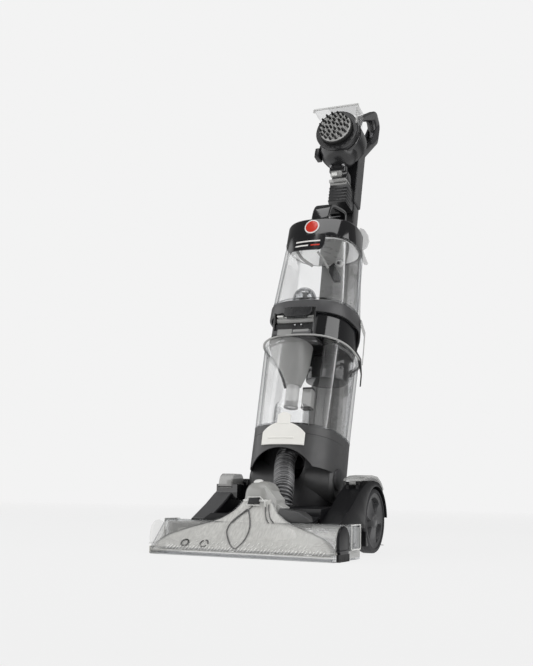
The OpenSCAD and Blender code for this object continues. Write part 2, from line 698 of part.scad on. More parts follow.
// round bowl under the tool's head, as a turned outline
bowl_h = 870;
bowl_r = 46;
function bowl_line(r, step) = concat([[0, bowl_h - r]], [for (a = [step:step:90]) [r * sin(a),
    bowl_h - r * cos(a)]], [[r * 0.98, bowl_h + 10], [r * 0.85, bowl_h + 20], [0, bowl_h + 20]]);
module turned(v, outline) translate([0, v, 0]) rotate_extrude() polygon(outline);
module tool_body() color([0.1, 0.1, 0.11]) at_upright() difference() {
    union() {
        translate([0, 8, 744]) cylinder(h = 40, r = 12.6);
        block(-20, 20, -12, 26, 778.3, 788);
        translate([0, 2, 788]) cylinder(h = 38, r = 17);
        turned(-8, bowl_line(bowl_r, 15));
        translate([0, 12, head_h]) rotate([90, 0, 0]) cylinder(h = 66, r = head_r);
        block(-57, -44, -30, -6, 848, 874);
    }
    block(-70, 70, 31, 90, 700, 1000);
    block(-70, 70, -90, head_v - 3, 880, 960);
    translate([0, head_v + 6, head_h]) rotate([90, 0, 0]) cylinder(h = 30, r = head_r - 3);
    turned(-8, bowl_line(bowl_r - 6, 15));
    translate([0, 6, head_h]) rotate([90, 0, 0]) cylinder(h = 48, r = head_r - 8);
}
module tool_hood() color([0.85, 0.86, 0.88, 0.4]) at_upright() difference() {
    block(-56, 56, -64, -22, 896, 948);
    block(-53.5, 53.5, -65, -21, 895, 945.5);
}
module brush_disc() color([0.55, 0.55, 0.56]) at_upright()
    translate([0, head_v - 1, head_h]) rotate([90, 0, 0]) {
        cylinder(h = 12, r = head_r - 11);
        translate([0, 0, -6]) cylinder(h = 7, r = 6);
        for (row = [[10, 5], [22, 11], [34, head_bristles]], i = [1:row[1]])
            rotate([0, 0, i * 360 / row[1] + row[0]]) translate([row[0], 0, 11])
                cylinder(h = 12, r = 2, $fn = 13);
    }

base_chassis();
base_cover();
belt_cover();
nozzle_sole();
brush_housing();
nozzle_hood();
nozzle_throat();
duct_elbow();
nozzle_latch();
edge_brushes();
edge_brackets();
brush_roll_front();
brush_roll_rear();
brush_motor();
motor_pulley();
belts();
pump();
spray_bar();
hose_port();
port_cap();
recline_pedal();
axle_pins();
wheel_left();
wheel_right();
tyre_left();
tyre_right();
base_screws();
lower_casing();
motor_housing();
vacuum_motor();
vacuum_fan();
vacuum_hose();
hose_cuff();
release_plate();
spine();
solution_tube();
cord_gland();
recovery_tank();
tank_rim();
separator();
funnel();
float_ball();
tank_lid();
lid_latch();
clean_tank();
tank_cap();
tank_handle();
tank_valve();
badge();
stem();
handle_left();
handle_right();
handle_grip();
trigger();
power_switch();
cord_hook();
tool_cradle();
tool_body();
tool_hood();
brush_disc();
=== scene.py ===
import json
import math
import random

import bmesh
import bpy
from mathutils import Matrix, Vector


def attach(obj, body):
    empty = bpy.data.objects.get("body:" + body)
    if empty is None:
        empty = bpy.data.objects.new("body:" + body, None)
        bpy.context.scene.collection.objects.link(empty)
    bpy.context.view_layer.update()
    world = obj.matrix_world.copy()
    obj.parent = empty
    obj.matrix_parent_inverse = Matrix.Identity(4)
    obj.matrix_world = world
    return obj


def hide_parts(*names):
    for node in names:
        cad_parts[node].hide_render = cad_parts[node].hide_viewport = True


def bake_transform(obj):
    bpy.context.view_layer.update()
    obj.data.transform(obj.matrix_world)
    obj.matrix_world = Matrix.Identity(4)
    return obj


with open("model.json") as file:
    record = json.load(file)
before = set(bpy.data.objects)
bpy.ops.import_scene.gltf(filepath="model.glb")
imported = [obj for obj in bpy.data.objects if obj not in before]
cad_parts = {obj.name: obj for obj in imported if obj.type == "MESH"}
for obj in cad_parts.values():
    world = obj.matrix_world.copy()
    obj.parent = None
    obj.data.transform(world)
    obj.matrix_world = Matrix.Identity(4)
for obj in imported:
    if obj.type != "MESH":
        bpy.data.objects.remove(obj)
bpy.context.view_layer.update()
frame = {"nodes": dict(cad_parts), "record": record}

random.seed(7)
NODES = frame["nodes"]

# ---- frames
# Base pieces use machine axes and upright pieces the upright's own axes, both in millimetres.
LEAN = math.radians(13.6)
COS, SIN = math.cos(LEAN), math.sin(LEAN)
AXLE_Y, AXLE_Z = 114.0, 63.0
MID_Y = (AXLE_Y + 180 * COS + 1070 * SIN + 28 - 197) / 2


def base(x, y, z):
    return Vector((x, y - MID_Y, z)) / 1000


def lean(x, v, w):
    return base(x, AXLE_Y + v * COS + w * SIN, AXLE_Z + w * COS - v * SIN)


def base_side(y, z, x):
    return base(x, y, z)


def base_front(x, z, y):
    return base(x, y, z)


def lean_side(v, w, x):
    return lean(x, v, w)


def lean_front(x, w, v):
    return lean(x, v, w)


def mix(a, b, k):
    return a + (b - a) * k


def spow(x, e):
    return math.copysign(abs(x) ** e, x)


def table_at(rows, h):
    """A value, or a row of values, read from [(h, value), ...] by straight lines."""
    if h <= rows[0][0]:
        return rows[0][1]
    for (h0, a), (h1, b) in zip(rows, rows[1:]):
        if h <= h1:
            k = (h - h0) / (h1 - h0)
            return mix(a, b, k) if not isinstance(a, tuple) else tuple(mix(p, q, k) for p, q in zip(a, b))
    return rows[-1][1]


# ---- materials
def new_material(name):
    mat = bpy.data.materials.new(name)
    mat.use_nodes = True
    nt = mat.node_tree
    nt.nodes.clear()
    return mat, nt, nt.nodes.new("ShaderNodeOutputMaterial")


def add(nt, kind, **values):
    node = nt.nodes.new(kind)
    for key, value in values.items():
        if hasattr(node, key) and key not in node.inputs:
            setattr(node, key, value)
        else:
            node.inputs[key].default_value = value
    return node


def wire(nt, source, out, target, into):
    nt.links.new(source.outputs[out], target.inputs[into])


def noise(nt, scale, detail=3.0):
    where = add(nt, "ShaderNodeTexCoord")
    tex = add(nt, "ShaderNodeTexNoise", Scale=scale, Detail=detail)
    wire(nt, where, "Object", tex, "Vector")
    return tex


def surface(nt, bsdf, color, rough, spread, grain, grain_size):
    """Colour drift, uneven roughness and a fine moulded grain on a shader."""
    drift = noise(nt, 22.0, 4.0)
    tint = add(nt, "ShaderNodeMix", data_type="RGBA")
    tint.inputs["A"].default_value = (*[c * 0.90 for c in color], 1)
    tint.inputs["B"].default_value = (*[min(1, c * 1.08) for c in color], 1)
    wire(nt, drift, "Fac", tint, "Factor")
    wire(nt, tint, "Result", bsdf, "Base Color")
    smear = noise(nt, 60.0, 5.0)
    span = add(nt, "ShaderNodeMapRange")
    span.inputs["From Min"].default_value = 0.3
    span.inputs["From Max"].default_value = 0.7
    span.inputs["To Min"].default_value = max(0.0, rough - spread)
    span.inputs["To Max"].default_value = rough + spread
    wire(nt, smear, "Fac", span, "Value")
    wire(nt, span, "Result", bsdf, "Roughness")
    if grain:
        fine = noise(nt, grain_size, 2.0)
        bump = add(nt, "ShaderNodeBump", Strength=grain, Distance=0.00006)
        wire(nt, fine, "Fac", bump, "Height")
        wire(nt, bump, "Normal", bsdf, "Normal")


def plastic(name, color, rough, spread=0.05, grain=0.25, grain_size=1400.0, gloss=0.5, coat=0.0, metal=0.0):
    mat, nt, out = new_material(name)
    bsdf = add(nt, "ShaderNodeBsdfPrincipled")
    bsdf.inputs["Specular IOR Level"].default_value = gloss
    bsdf.inputs["Coat Weight"].default_value = coat
    bsdf.inputs["Coat Roughness"].default_value = 0.03
    bsdf.inputs["Metallic"].default_value = metal
    surface(nt, bsdf, color, rough, spread, grain, grain_size)
    wire(nt, bsdf, "BSDF", out, "Surface")
    return mat


def milky(name, color, alpha, rough, grain=0.15):
    """A translucent moulding that lets part of the light straight through."""
    mat, nt, out = new_material(name)
    bsdf = add(nt, "ShaderNodeBsdfPrincipled")
    bsdf.inputs["Alpha"].default_value = alpha
    bsdf.inputs["Specular IOR Level"].default_value = 0.6
    surface(nt, bsdf, color, rough, 0.04, grain, 900.0)
    wire(nt, bsdf, "BSDF", out, "Surface")
    return mat


def lit(name, color):
    """A pale, slightly see-through moulding that glows by its own emission: painted light, not a lamp."""
    mat, nt, out = new_material(name)
    bsdf = add(nt, "ShaderNodeBsdfPrincipled")
    surface(nt, bsdf, color, 0.4, 0.05, 0.1, 900.0)
    bsdf.inputs["Alpha"].default_value = 0.9
    bsdf.inputs["Emission Color"].default_value = (1, 1, 1, 1)
    bsdf.inputs["Emission Strength"].default_value = 0.22
    wire(nt, bsdf, "BSDF", out, "Surface")
    return mat


def brushed(name, dark, light, alpha, rough):
    """A translucent moulding crossed by fine slanting strokes."""
    mat, nt, out = new_material(name)
    bsdf = add(nt, "ShaderNodeBsdfPrincipled")
    surface(nt, bsdf, light, rough, 0.06, 0.5, 900.0)
    where = add(nt, "ShaderNodeTexCoord")
    turned = add(nt, "ShaderNodeMapping", Rotation=(0.0, 0.55, 0.0), Scale=(420.0, 90.0, 90.0))
    strokes = add(nt, "ShaderNodeTexNoise", Scale=1.0, Detail=4.0)
    ramp = add(nt, "ShaderNodeValToRGB")
    stops = ramp.color_ramp.elements
    stops[0].position, stops[0].color = 0.30, (*dark, 1)
    stops[1].position, stops[1].color = 0.66, (*light, 1)
    wire(nt, where, "Object", turned, "Vector")
    wire(nt, turned, "Vector", strokes, "Vector")
    wire(nt, strokes, "Fac", ramp, "Fac")
    wire(nt, ramp, "Color", bsdf, "Base Color")
    bsdf.inputs["Alpha"].default_value = alpha
    wire(nt, bsdf, "BSDF", out, "Surface")
    return mat


def clear(name, tint, edge, rough=0.03, ior=1.45, shine=0.35):
    """Clear plastic as a thin wall: tinted see-through that darkens at grazing angles, under a gloss."""
    mat, nt, out = new_material(name)
    facing = add(nt, "ShaderNodeLayerWeight", Blend=0.5)
    ramp = add(nt, "ShaderNodeValToRGB")
    stops = ramp.color_ramp.elements
    stops[0].position, stops[0].color = 0.72, (*tint, 1)
    stops[1].position, stops[1].color = 1.0, (*edge, 1)
    wire(nt, facing, "Facing", ramp, "Fac")
    through = add(nt, "ShaderNodeBsdfTransparent")
    wire(nt, ramp, "Color", through, "Color")
    gloss = add(nt, "ShaderNodeBsdfPrincipled")
    surface(nt, gloss, (0.8, 0.8, 0.8), rough, 0.02, 0.05, 300.0)
    gloss.inputs["Metallic"].default_value = 1.0
    amount = add(nt, "ShaderNodeFresnel", IOR=ior)
    share = add(nt, "ShaderNodeMath", operation="MULTIPLY")
    share.inputs[1].default_value = shine
    wire(nt, amount, "Fac", share, 0)
    both = add(nt, "ShaderNodeMixShader")
    wire(nt, share, "Value", both, "Fac")
    wire(nt, through, "BSDF", both, 1)
    wire(nt, gloss, "BSDF", both, 2)
    wire(nt, both, "Shader", out, "Surface")
    return mat


# plastic: colour, roughness, its spread, grain depth, grain size; milky: colour, opacity, roughness, grain
M = {
    "gloss": plastic("gloss_black", (0.006, 0.006, 0.007), 0.09, 0.03, 0.04, 700, gloss=0.9),
    "shell": plastic("shell_grey", (0.055, 0.055, 0.056), 0.42, 0.07, 0.35, 1500),
    "band": plastic("band_grey", (0.06, 0.06, 0.062), 0.40, 0.06, 0.3, 1500),
    "pod": plastic("pod_black", (0.006, 0.006, 0.007), 0.30, 0.02, 0.02, 1300, gloss=0.2),
    "panel": plastic("panel_grey", (0.075, 0.075, 0.077), 0.35, 0.06, 0.2, 1500),
    "duct": plastic("duct_grey", (0.21, 0.21, 0.205), 0.34, 0.08, 0.15, 1200),
    "inner": plastic("inner_black", (0.012, 0.012, 0.013), 0.55, 0.08, 0.3, 1500),
    "housing": plastic("housing_grey", (0.036, 0.036, 0.038), 0.40, 0.08, 0.4, 1300),
    "handle": plastic("handle_black", (0.013, 0.013, 0.014), 0.27, 0.05, 0.2, 1500, gloss=0.6),
    "rubber": plastic("grip_rubber", (0.022, 0.022, 0.024), 0.62, 0.08, 0.5, 1800, gloss=0.35),
    "hose": plastic("hose_rubber", (0.03, 0.03, 0.032), 0.26, 0.06, 0.2, 1600, gloss=0.8),
    # lighter glossy grey for the hose's rib crests: painted highlight
    "hose_crest_highlight": plastic("hose_ridge_highlight", (0.16, 0.16, 0.165), 0.24, 0.06, 0.1, 1600, gloss=0.9),
    "ivory": plastic("ivory_plate", (0.82, 0.81, 0.77), 0.38, 0.06, 0.15, 1500),
    "bristle": plastic("bristle_black", (0.01, 0.01, 0.01), 0.5, 0.08, 0.2, 2500),
    "pale_bristle": plastic("bristle_pale", (0.62, 0.61, 0.57), 0.55, 0.08, 0.2, 2500),
    "disc": plastic("disc_grey", (0.40, 0.40, 0.39), 0.42, 0.06, 0.2, 1400),
    "red": plastic("badge_red", (0.56, 0.028, 0.012), 0.18, 0.04, 0.05, 900, coat=0.5),
    "pale": plastic("pale_enamel", (0.74, 0.72, 0.70), 0.3, 0.05, 0.05, 900),
    "steel": plastic("plain_steel", (0.5, 0.5, 0.51), 0.3, 0.08, 0.15, 2600, metal=1.0),
    "trigger": plastic("trigger_grey", (0.22, 0.22, 0.23), 0.4, 0.06, 0.25, 1500),
    "spine": plastic("spine_grey", (0.30, 0.30, 0.295), 0.30, 0.08, 0.12, 1200),
    "rib_white": milky("rib_pale", (0.93, 0.93, 0.91), 0.9, 0.2, 0.1),
    # pale edges and small pale parts; also used for the painted highlights on the elbow dome and the deck
    "line_white": plastic("pale_edge_and_highlight", (0.74, 0.74, 0.72), 0.25, 0.05, 0.05, 900),
    "clear": clear("clear_plastic", (0.985, 0.986, 0.987), (0.62, 0.63, 0.64)),
    "clear_edge": clear("clear_rim", (0.86, 0.865, 0.87), (0.50, 0.51, 0.52), 0.05, shine=0.5),
    "bell": brushed("bell_plastic", (0.64, 0.635, 0.61), (0.90, 0.895, 0.865), 0.52, 0.14),
    "hood": milky("hood_plastic", (0.70, 0.70, 0.68), 0.16, 0.08, 0.6),
    "elbow": milky("elbow_plastic", (0.36, 0.36, 0.345), 0.90, 0.16, 0.5),
    "elbow_side": milky("elbow_side_plastic", (0.48, 0.48, 0.465), 0.92, 0.16, 0.5),
    "spout": milky("spout_plastic", (0.80, 0.80, 0.79), 0.42, 0.10, 0.1),
    "smoke": milky("smoke_plastic", (0.42, 0.42, 0.41), 0.62, 0.18),
    "funnel": milky("funnel_plastic", (0.38, 0.38, 0.37), 0.70, 0.22, 0.05),
    # pale material with its own glow: painted light
    "lit": lit("painted_glow_plastic", (0.86, 0.86, 0.86)),
    "ear": milky("ear_plastic", (0.66, 0.66, 0.66), 0.45, 0.16),
    "bead": plastic("bead_grey", (0.42, 0.42, 0.41), 0.18, 0.05, 0.05, 900),
    "rim": milky("rim_plastic", (0.55, 0.55, 0.54), 0.55, 0.16, 0.3),
    "line": milky("edge_line", (0.10, 0.10, 0.10), 0.75, 0.15),
}


# ---- mesh tools
def skin(loops, wrap=False, caps=(True, True), closed=True):
    """Faces between loops of equal length. wrap joins the last loop to the first."""
    n = len(loops[0])
    verts = [p for loop in loops for p in loop]
    faces = []
    count = len(loops)
    for k in range(count if wrap else count - 1):
        a, b = k * n, (k + 1) % count * n
        for i in range(n if closed else n - 1):
            j = (i + 1) % n
            faces.append((a + i, a + j, b + j, b + i))
    if not wrap and closed:
        if caps[0]:
            faces.append(tuple(reversed(range(n))))
        if caps[1]:
            faces.append(tuple((count - 1) * n + i for i in range(n)))
    return verts, faces


def joined(*parts):
    verts, faces = [], []
    for v, f in parts:
        shift = len(verts)
        verts += v
        faces += [tuple(i + shift for i in face) for face in f]
    return verts, faces


def soften(obj, bevel=0.0, segments=2, angle=32, solid=0.0):
    """Gives a sheet its wall and rounds the sharp edges, both in millimetres."""
    if solid:
        m = obj.modifiers.new("wall", "SOLIDIFY")
        m.thickness, m.offset = solid / 1000, -1
    if bevel:
        m = obj.modifiers.new("edges", "BEVEL")
        m.width, m.segments, m.limit_method = bevel / 1000, segments, "ANGLE"
        m.angle_limit = math.radians(angle)
        obj.modifiers.new("shading", "WEIGHTED_NORMAL").keep_sharp = True


def build_mesh(name, shape, weld=0.0):
    mesh = bpy.data.meshes.new(name)
    mesh.from_pydata([tuple(p) for p in shape[0]], [], shape[1])
    bm = bmesh.new()
    bm.from_mesh(mesh)
    if weld:
        bmesh.ops.remove_doubles(bm, verts=bm.verts, dist=weld)
    bmesh.ops.recalc_face_normals(bm, faces=bm.faces)
    bm.to_mesh(mesh)
    bm.free()
    return mesh


def shade(mesh, angle):
    mesh.polygons.foreach_set("use_smooth", [True] * len(mesh.polygons))
    mesh.set_sharp_from_angle(angle=math.radians(angle))


def add_object(name, data):
    obj = bpy.data.objects.new(name, data)
    bpy.context.scene.collection.objects.link(obj)
    return obj


SLOT_OF = {s["node"]: s["material_slot"] for s in frame["record"]["subparts"]}
# the slot of a piece that stands for no CAD node, by its material
SLOT_USERS = {"black_gloss": "gloss", "bristle": "bristle", "clear": "clear clear_edge line rim",
    "dark_shell": "handle inner panel shell", "ivory": "ivory", "smoke": "elbow_side line_white smoke"}
SLOT_BY_MATERIAL = {m: slot for slot, users in SLOT_USERS.items() for m in users.split()}
WELD = 1e-6


def piece(name, shape, body, material, nodes=(), slot=None, angle=38, **edges):
    """Makes one visible piece, rides it on a body and hides the CAD nodes it stands for."""
    mesh = build_mesh(name, shape, WELD)
    shade(mesh, angle)
    obj = add_object(name, mesh)
    mesh.materials.append(M[material])
    soften(obj, **edges)
    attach(obj, body)
    if nodes:
        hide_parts(*nodes)
        slot = slot or SLOT_OF[nodes[0]]
    slot = slot or SLOT_BY_MATERIAL.get(material)
    return obj


def smooth_group():
    """Geometry nodes that shade a CAD mesh smooth, except over sharp edges."""
    group = bpy.data.node_groups.new("cad_shading", "GeometryNodeTree")
    group.interface.new_socket("Geometry", in_out="INPUT", socket_type="NodeSocketGeometry")
    group.interface.new_socket("Geometry", in_out="OUTPUT", socket_type="NodeSocketGeometry")
    start, end = group.nodes.new("NodeGroupInput"), group.nodes.new("NodeGroupOutput")
    fold = group.nodes.new("GeometryNodeInputMeshEdgeAngle")
    test = group.nodes.new("FunctionNodeCompare")
    test.operation = "GREATER_THAN"
    test.inputs["B"].default_value = math.radians(34)
    faces = group.nodes.new("GeometryNodeSetShadeSmooth")
    edges = group.nodes.new("GeometryNodeSetShadeSmooth")
    edges.domain = "EDGE"
    edges.inputs["Shade Smooth"].default_value = False
    link = group.links.new
    link(start.outputs[0], faces.inputs["Geometry"])
    link(faces.outputs[0], edges.inputs["Geometry"])
    link(fold.outputs["Unsigned Angle"], test.inputs["A"])
    link(test.outputs["Result"], edges.inputs["Selection"])
    link(edges.outputs[0], end.inputs[0])
    return group


CAD_SHADING = smooth_group()


def cad(names, material, bevel=0.5, segments=2):
    """Keeps CAD nodes as they are, with welded and softened edges and a finished material."""
    for name in names.split():
        obj = NODES[name]
        obj.data.materials.clear()
        obj.data.materials.append(M[material])
        m = obj.modifiers.new("weld", "WELD")
        m.merge_threshold = 2e-5
        if bevel:
            m = obj.modifiers.new("edges", "BEVEL")
            m.width, m.segments, m.limit_method = bevel / 1000, segments, "ANGLE"
            m.angle_limit = math.radians(34)
        m = obj.modifiers.new("shading", "NODES")
        m.node_group = CAD_SHADING


def turns(n):
    return [2 * math.pi * i / n for i in range(n)]


def circle(n, r=1.0, start=0.0):
    """Points of a circle as (across, up) pairs."""
    return [(r * math.cos(start + t), r * math.sin(start + t)) for t in turns(n)]


def lathe(profile, centre, place, axis="w", n=64, wrap=False):
    """Turns (radius, height) points round an axis of the placing frame: x, v or w."""
    loops = []
    for r, h in profile:
        ring = []
        for c, s in circle(n):
            off = {"w": (r * c, r * s, h), "v": (r * c, h, r * s), "x": (h, r * c, r * s)}[axis]
            ring.append(place(*[a + b for a, b in zip(centre, off)]))
        loops.append(ring)
    return skin(loops, wrap=wrap)


def smooth_path(points, per=8):
    """A Catmull-Rom curve through points."""
    pts = [Vector(p) for p in points]
    ends = [2 * pts[0] - pts[1]] + pts + [2 * pts[-1] - pts[-2]]
    out = []
    for i in range(1, len(ends) - 2):
        p0, p1, p2, p3 = ends[i - 1:i + 3]
        for k in range(per):
            t = k / per
            out.append(0.5 * (2 * p1 + (p2 - p0) * t + (2 * p0 - 5 * p1 + 4 * p2 - p3) * t * t
                + (3 * p1 - p0 - 3 * p2 + p3) * t ** 3))
    return out + [pts[-1]]


def sweep(path, section, side=(1, 0, 0), wrap=False, caps=(True, True)):
    """Moves a section along placed points. section(i) lists (along side, across it) in millimetres."""
    loops = []
    count = len(path)
    side = Vector(side).normalized()
    for i, p in enumerate(path):
        if wrap:
            d = path[(i + 1) % count] - path[i - 1]
        else:
            d = path[min(i + 1, count - 1)] - path[max(i - 1, 0)]
        d.normalize()
        u = (side - d * side.dot(d)).normalized()
        s = d.cross(u)
        side = u if not wrap else side
        loops.append([p + u * a / 1000 + s * b / 1000 for a, b in section(i)])
    return skin(loops, wrap=wrap, caps=caps)


def rod(path, r, n=12):
    """A round bar. Its first side stays clear of the way that the bar runs."""
    run = (Vector(path[-1]) - Vector(path[0])).normalized()
    side = (0, 0, 1) if abs(run.x) > 0.9 else (1, 0, 0)
    return sweep(path, lambda i: circle(n, r), side=side)


def round_rect(a, b, r, n=6):
    """A rectangle of half sizes a and b with round corners, as points."""
    out = []
    for cx, cy, start in ((a - r, b - r, 0), (r - a, b - r, 1), (r - a, r - b, 2), (a - r, r - b, 3)):
        for i in range(n + 1):
            t = math.pi / 2 * (start + i / n)
            out.append((cx + r * math.cos(t), cy + r * math.sin(t)))
    return out


def prism(outline, place, a, b, rounding=0.0, steps=4):
    """An outline pushed from a to b. place(p, q, t) sets a point; the rims are rounded inwards."""
    n = len(outline)
    cx, cy = sum(p[0] for p in outline) / n, sum(p[1] for p in outline) / n
    normals = []
    for i in range(n):
        (x0, y0), (x1, y1) = outline[i - 1], outline[(i + 1) % n]
        d = math.hypot(x1 - x0, y1 - y0) or 1
        nx, ny = (y1 - y0) / d, -(x1 - x0) / d
        if nx * (outline[i][0] - cx) + ny * (outline[i][1] - cy) < 0:
            nx, ny = -nx, -ny
        normals.append((nx, ny))
    stack = [(0, a), (0, b)]
    if rounding:
        arc = [math.pi / 2 * k / steps for k in range(steps, -1, -1)]
        near = [(rounding * (1 - math.cos(t)), a + rounding * (1 - math.sin(t))) for t in arc]
        stack = near + [(ins, a + b - t) for ins, t in reversed(near)]
    loops = [[place(p - nx * ins, q - ny * ins, t) for (p, q), (nx, ny) in zip(outline, normals)]
        for ins, t in stack]
    return skin(loops)


def box(x0, x1, y0, y1, z0, z1, place=base, rounding=1.0):
    return prism([(x0, y0), (x1, y0), (x1, y1), (x0, y1)] if not rounding
        else [(x + (x0 + x1) / 2, y + (y0 + y1) / 2) for x, y in round_rect((x1 - x0) / 2, (y1 - y0) / 2,
        rounding, 3)], place, z0, z1, rounding)


def hull_outline(circles, n=180):
    """Outline of the convex hull of circles [(x, y, r), ...], by support points."""
    out = []
    for i in range(n):
        t = 2 * math.pi * i / n
        c, s = math.cos(t), math.sin(t)
        x, y, r = max(circles, key=lambda k: k[0] * c + k[1] * s + k[2])
        p = (x + r * c, y + r * s)
        if not out or math.hypot(p[0] - out[-1][0], p[1] - out[-1][1]) > 0.05:
            out.append(p)
    return out


def from_centre(outline, centre, angle):
    """Distance from centre to an outline along an angle."""
    c, s = math.cos(angle), math.sin(angle)
    best = 0.0
    n = len(outline)
    for i in range(n):
        (x0, y0), (x1, y1) = outline[i], outline[(i + 1) % n]
        ax, ay, bx, by = x0 - centre[0], y0 - centre[1], x1 - centre[0], y1 - centre[1]
        d0, d1 = c * ay - s * ax, c * by - s * bx
        if d0 * d1 <= 0 and abs(d0 - d1) > 1e-9:
            k = d0 / (d0 - d1)
            best = max(best, (ax + (bx - ax) * k) * c + (ay + (by - ay) * k) * s)
    return best


# ---- the body's sections
SEAM, TOP = 150.0, 626.0
SQUARE = 0.78


def girth(h):
    k = max(0.0, (h - SEAM) / (TOP - SEAM))
    return mix(90, 79, k), mix(101, 69, k), mix(-60.5, -53, k)


def ring(h, grow=0.0, slope=0.0, n=144):
    a, b, m = girth(h)
    a, b = a + grow, b + grow
    out = []
    for i in range(n):
        t = 2 * math.pi * i / n
        v = m + b * spow(math.sin(t), SQUARE)
        out.append(lean(a * spow(math.cos(t), SQUARE), v, h + slope * (v - m + b)))
    return out


def rings(levels, **more):
    return skin([ring(*level) for level in levels], **more)


def front(x, h, grow):
    """A point on the front of the body."""
    a, b, m = girth(h)
    a, b = a + grow, b + grow
    k = max(0.0, 1 - abs(x / a) ** (2 / SQUARE)) ** (SQUARE / 2)
    return lean(x, m - b * k, h)


def patch(xs, low, high, grow0, grow1, rows=8):
    """A plate on the body's front between two edges given as functions of x."""
    outer = [[front(x, mix(low(x), high(x), k / rows), grow1) for k in range(rows + 1)] for x in xs]
    inner = [[front(x, mix(low(x), high(x), k / rows), grow0) for k in range(rows + 1)] for x in xs]
    loops = [o + list(reversed(i)) for o, i in zip(outer, inner)]
    return skin(loops)


def spread(a, b, n):
    return [mix(a, b, i / n) for i in range(n + 1)]


def cut(obj, shape):
    """Takes a shape out of a piece, for good."""
    tool = add_object("cutter", build_mesh("cutter", shape))
    m = obj.modifiers.new("cut", "BOOLEAN")
    m.operation, m.object, m.solver = "DIFFERENCE", tool, "EXACT"
    graph = bpy.context.evaluated_depsgraph_get()
    result = bpy.data.meshes.new_from_object(obj.evaluated_get(graph))
    obj.modifiers.remove(m)
    bpy.data.objects.remove(tool)
    obj.data = result
    shade(result, 35)
    return obj


# ---- camera, light, floor
YAW, PITCH, ROLL = (math.radians(a) for a in (24.467, -9.041, -1.262))
CAMERA_PLACE = (768.4, -1786.8, 116.2)
LENS, SENSOR = 53.6551, 36


def set_camera():
    """Stands in front of the machine to its right, near the floor, looking a little up."""
    fwd = Vector((-math.sin(YAW) * math.cos(PITCH), math.cos(YAW) * math.cos(PITCH), -math.sin(PITCH)))
    right = Vector((math.cos(YAW), math.sin(YAW), 0))
    up = right.cross(fwd)
    side = right * math.cos(ROLL) - up * math.sin(ROLL)
    top = right * math.sin(ROLL) + up * math.cos(ROLL)
    data = bpy.data.cameras.new("camera")
    data.sensor_width = SENSOR
    data.lens = LENS
    cam = add_object("camera", data)
    place = Matrix.Identity(4)
    for i in range(3):
        place[i][0], place[i][1], place[i][2] = side[i], top[i], -fwd[i]
        place[i][3] = base(*CAMERA_PLACE)[i]
    cam.matrix_world = place
    bpy.context.scene.camera = cam


def softbox(name, azimuth, elevation, distance, width, height, radiance, aim=(0, 0, 0.5)):
    """A plain rectangular light. Azimuth 0 is in front of the machine and grows towards +X."""
    a, e = math.radians(azimuth), math.radians(elevation)
    away = Vector((math.sin(a) * math.cos(e), -math.cos(a) * math.cos(e), math.sin(e)))
    data = bpy.data.lights.new(name, "AREA")
    data.shape, data.size, data.size_y = "RECTANGLE", width, height
    data.energy = radiance * math.pi * width * height
    lamp = add_object(name, data)
    lamp.location = Vector(aim) + away * distance
    lamp.rotation_euler = away.to_track_quat("Z", "Y").to_euler()
    lamp.visible_camera = False


# azimuth, elevation, distance, width, height and radiance of each light, in degrees and metres
LIGHTS = {
    "key_left": (-56, 10, 2.1, 5.2, 2.4, 1.35),
    "key_right": (78, 12, 2.4, 2.3, 2.6, 2.3),
    "top": (10, 76, 2.6, 2.4, 2.0, 2.2),
    "rim_back": (165, 30, 2.8, 1.6, 1.6, 0.3),
}
BACKDROP, AROUND = 0.896, 0.16
FLOOR_GLOW, FLOOR_PAPER = 0.82, 0.06
FLOOR_HALF, FLOOR_DROP = 6.0, 0.0006


def grey(level):
    return level, level, level, 1


def set_stage():
    view = bpy.context.scene.view_settings
    view.view_transform = "Standard"
    world = bpy.data.worlds.new("studio")
    bpy.context.scene.world = world
    world.use_nodes = True
    nt = world.node_tree
    nt.nodes.clear()
    out = nt.nodes.new("ShaderNodeOutputWorld")
    seen, around = nt.nodes.new("ShaderNodeBackground"), nt.nodes.new("ShaderNodeBackground")
    seen.inputs["Color"].default_value = grey(BACKDROP)
    around.inputs["Color"].default_value = grey(AROUND)
    path = nt.nodes.new("ShaderNodeLightPath")
    both = nt.nodes.new("ShaderNodeMixShader")
    wire(nt, path, "Is Camera Ray", both, "Fac")
    wire(nt, around, 0, both, 1)
    wire(nt, seen, 0, both, 2)
    wire(nt, both, 0, out, "Surface")

    mesh = bpy.data.meshes.new("floor")
    half = FLOOR_HALF
    mesh.from_pydata([(-half, -half, 0), (half, -half, 0), (half, half, 0), (-half, half, 0)], [],
        [(0, 1, 2, 3)])
    floor = add_object("floor", mesh)
    floor.location.z = -FLOOR_DROP
    mat, nt, out = new_material("floor_paper")
    where = add(nt, "ShaderNodeTexCoord")
    scale = add(nt, "ShaderNodeMapping")
    scale.inputs["Scale"].default_value = (1 / half, 1 / half, 1 / half)
    ball = add(nt, "ShaderNodeTexGradient", gradient_type="SPHERICAL")
    ramp = add(nt, "ShaderNodeValToRGB")
    ramp.color_ramp.elements[0].position, ramp.color_ramp.elements[1].position = 0.02, 0.75
    wire(nt, where, "Object", scale, "Vector")
    wire(nt, scale, "Vector", ball, "Vector")
    wire(nt, ball, "Fac", ramp, "Fac")
    glow = add(nt, "ShaderNodeEmission", Strength=FLOOR_GLOW)
    glow.inputs["Color"].default_value = (1, 1, 1, 1)
    paper = add(nt, "ShaderNodeBsdfDiffuse")
    paper.inputs["Color"].default_value = grey(FLOOR_PAPER)
    sum_ = add(nt, "ShaderNodeAddShader")
    wire(nt, glow, 0, sum_, 0)
    wire(nt, paper, 0, sum_, 1)
    gone = add(nt, "ShaderNodeBsdfTransparent")
    fade = add(nt, "ShaderNodeMixShader")
    wire(nt, ramp, "Color", fade, "Fac")
    wire(nt, gone, 0, fade, 1)
    wire(nt, sum_, 0, fade, 2)
    wire(nt, fade, 0, out, "Surface")
    mesh.materials.append(mat)

    for name, values in LIGHTS.items():
        softbox(name, *values)


# ---- upright


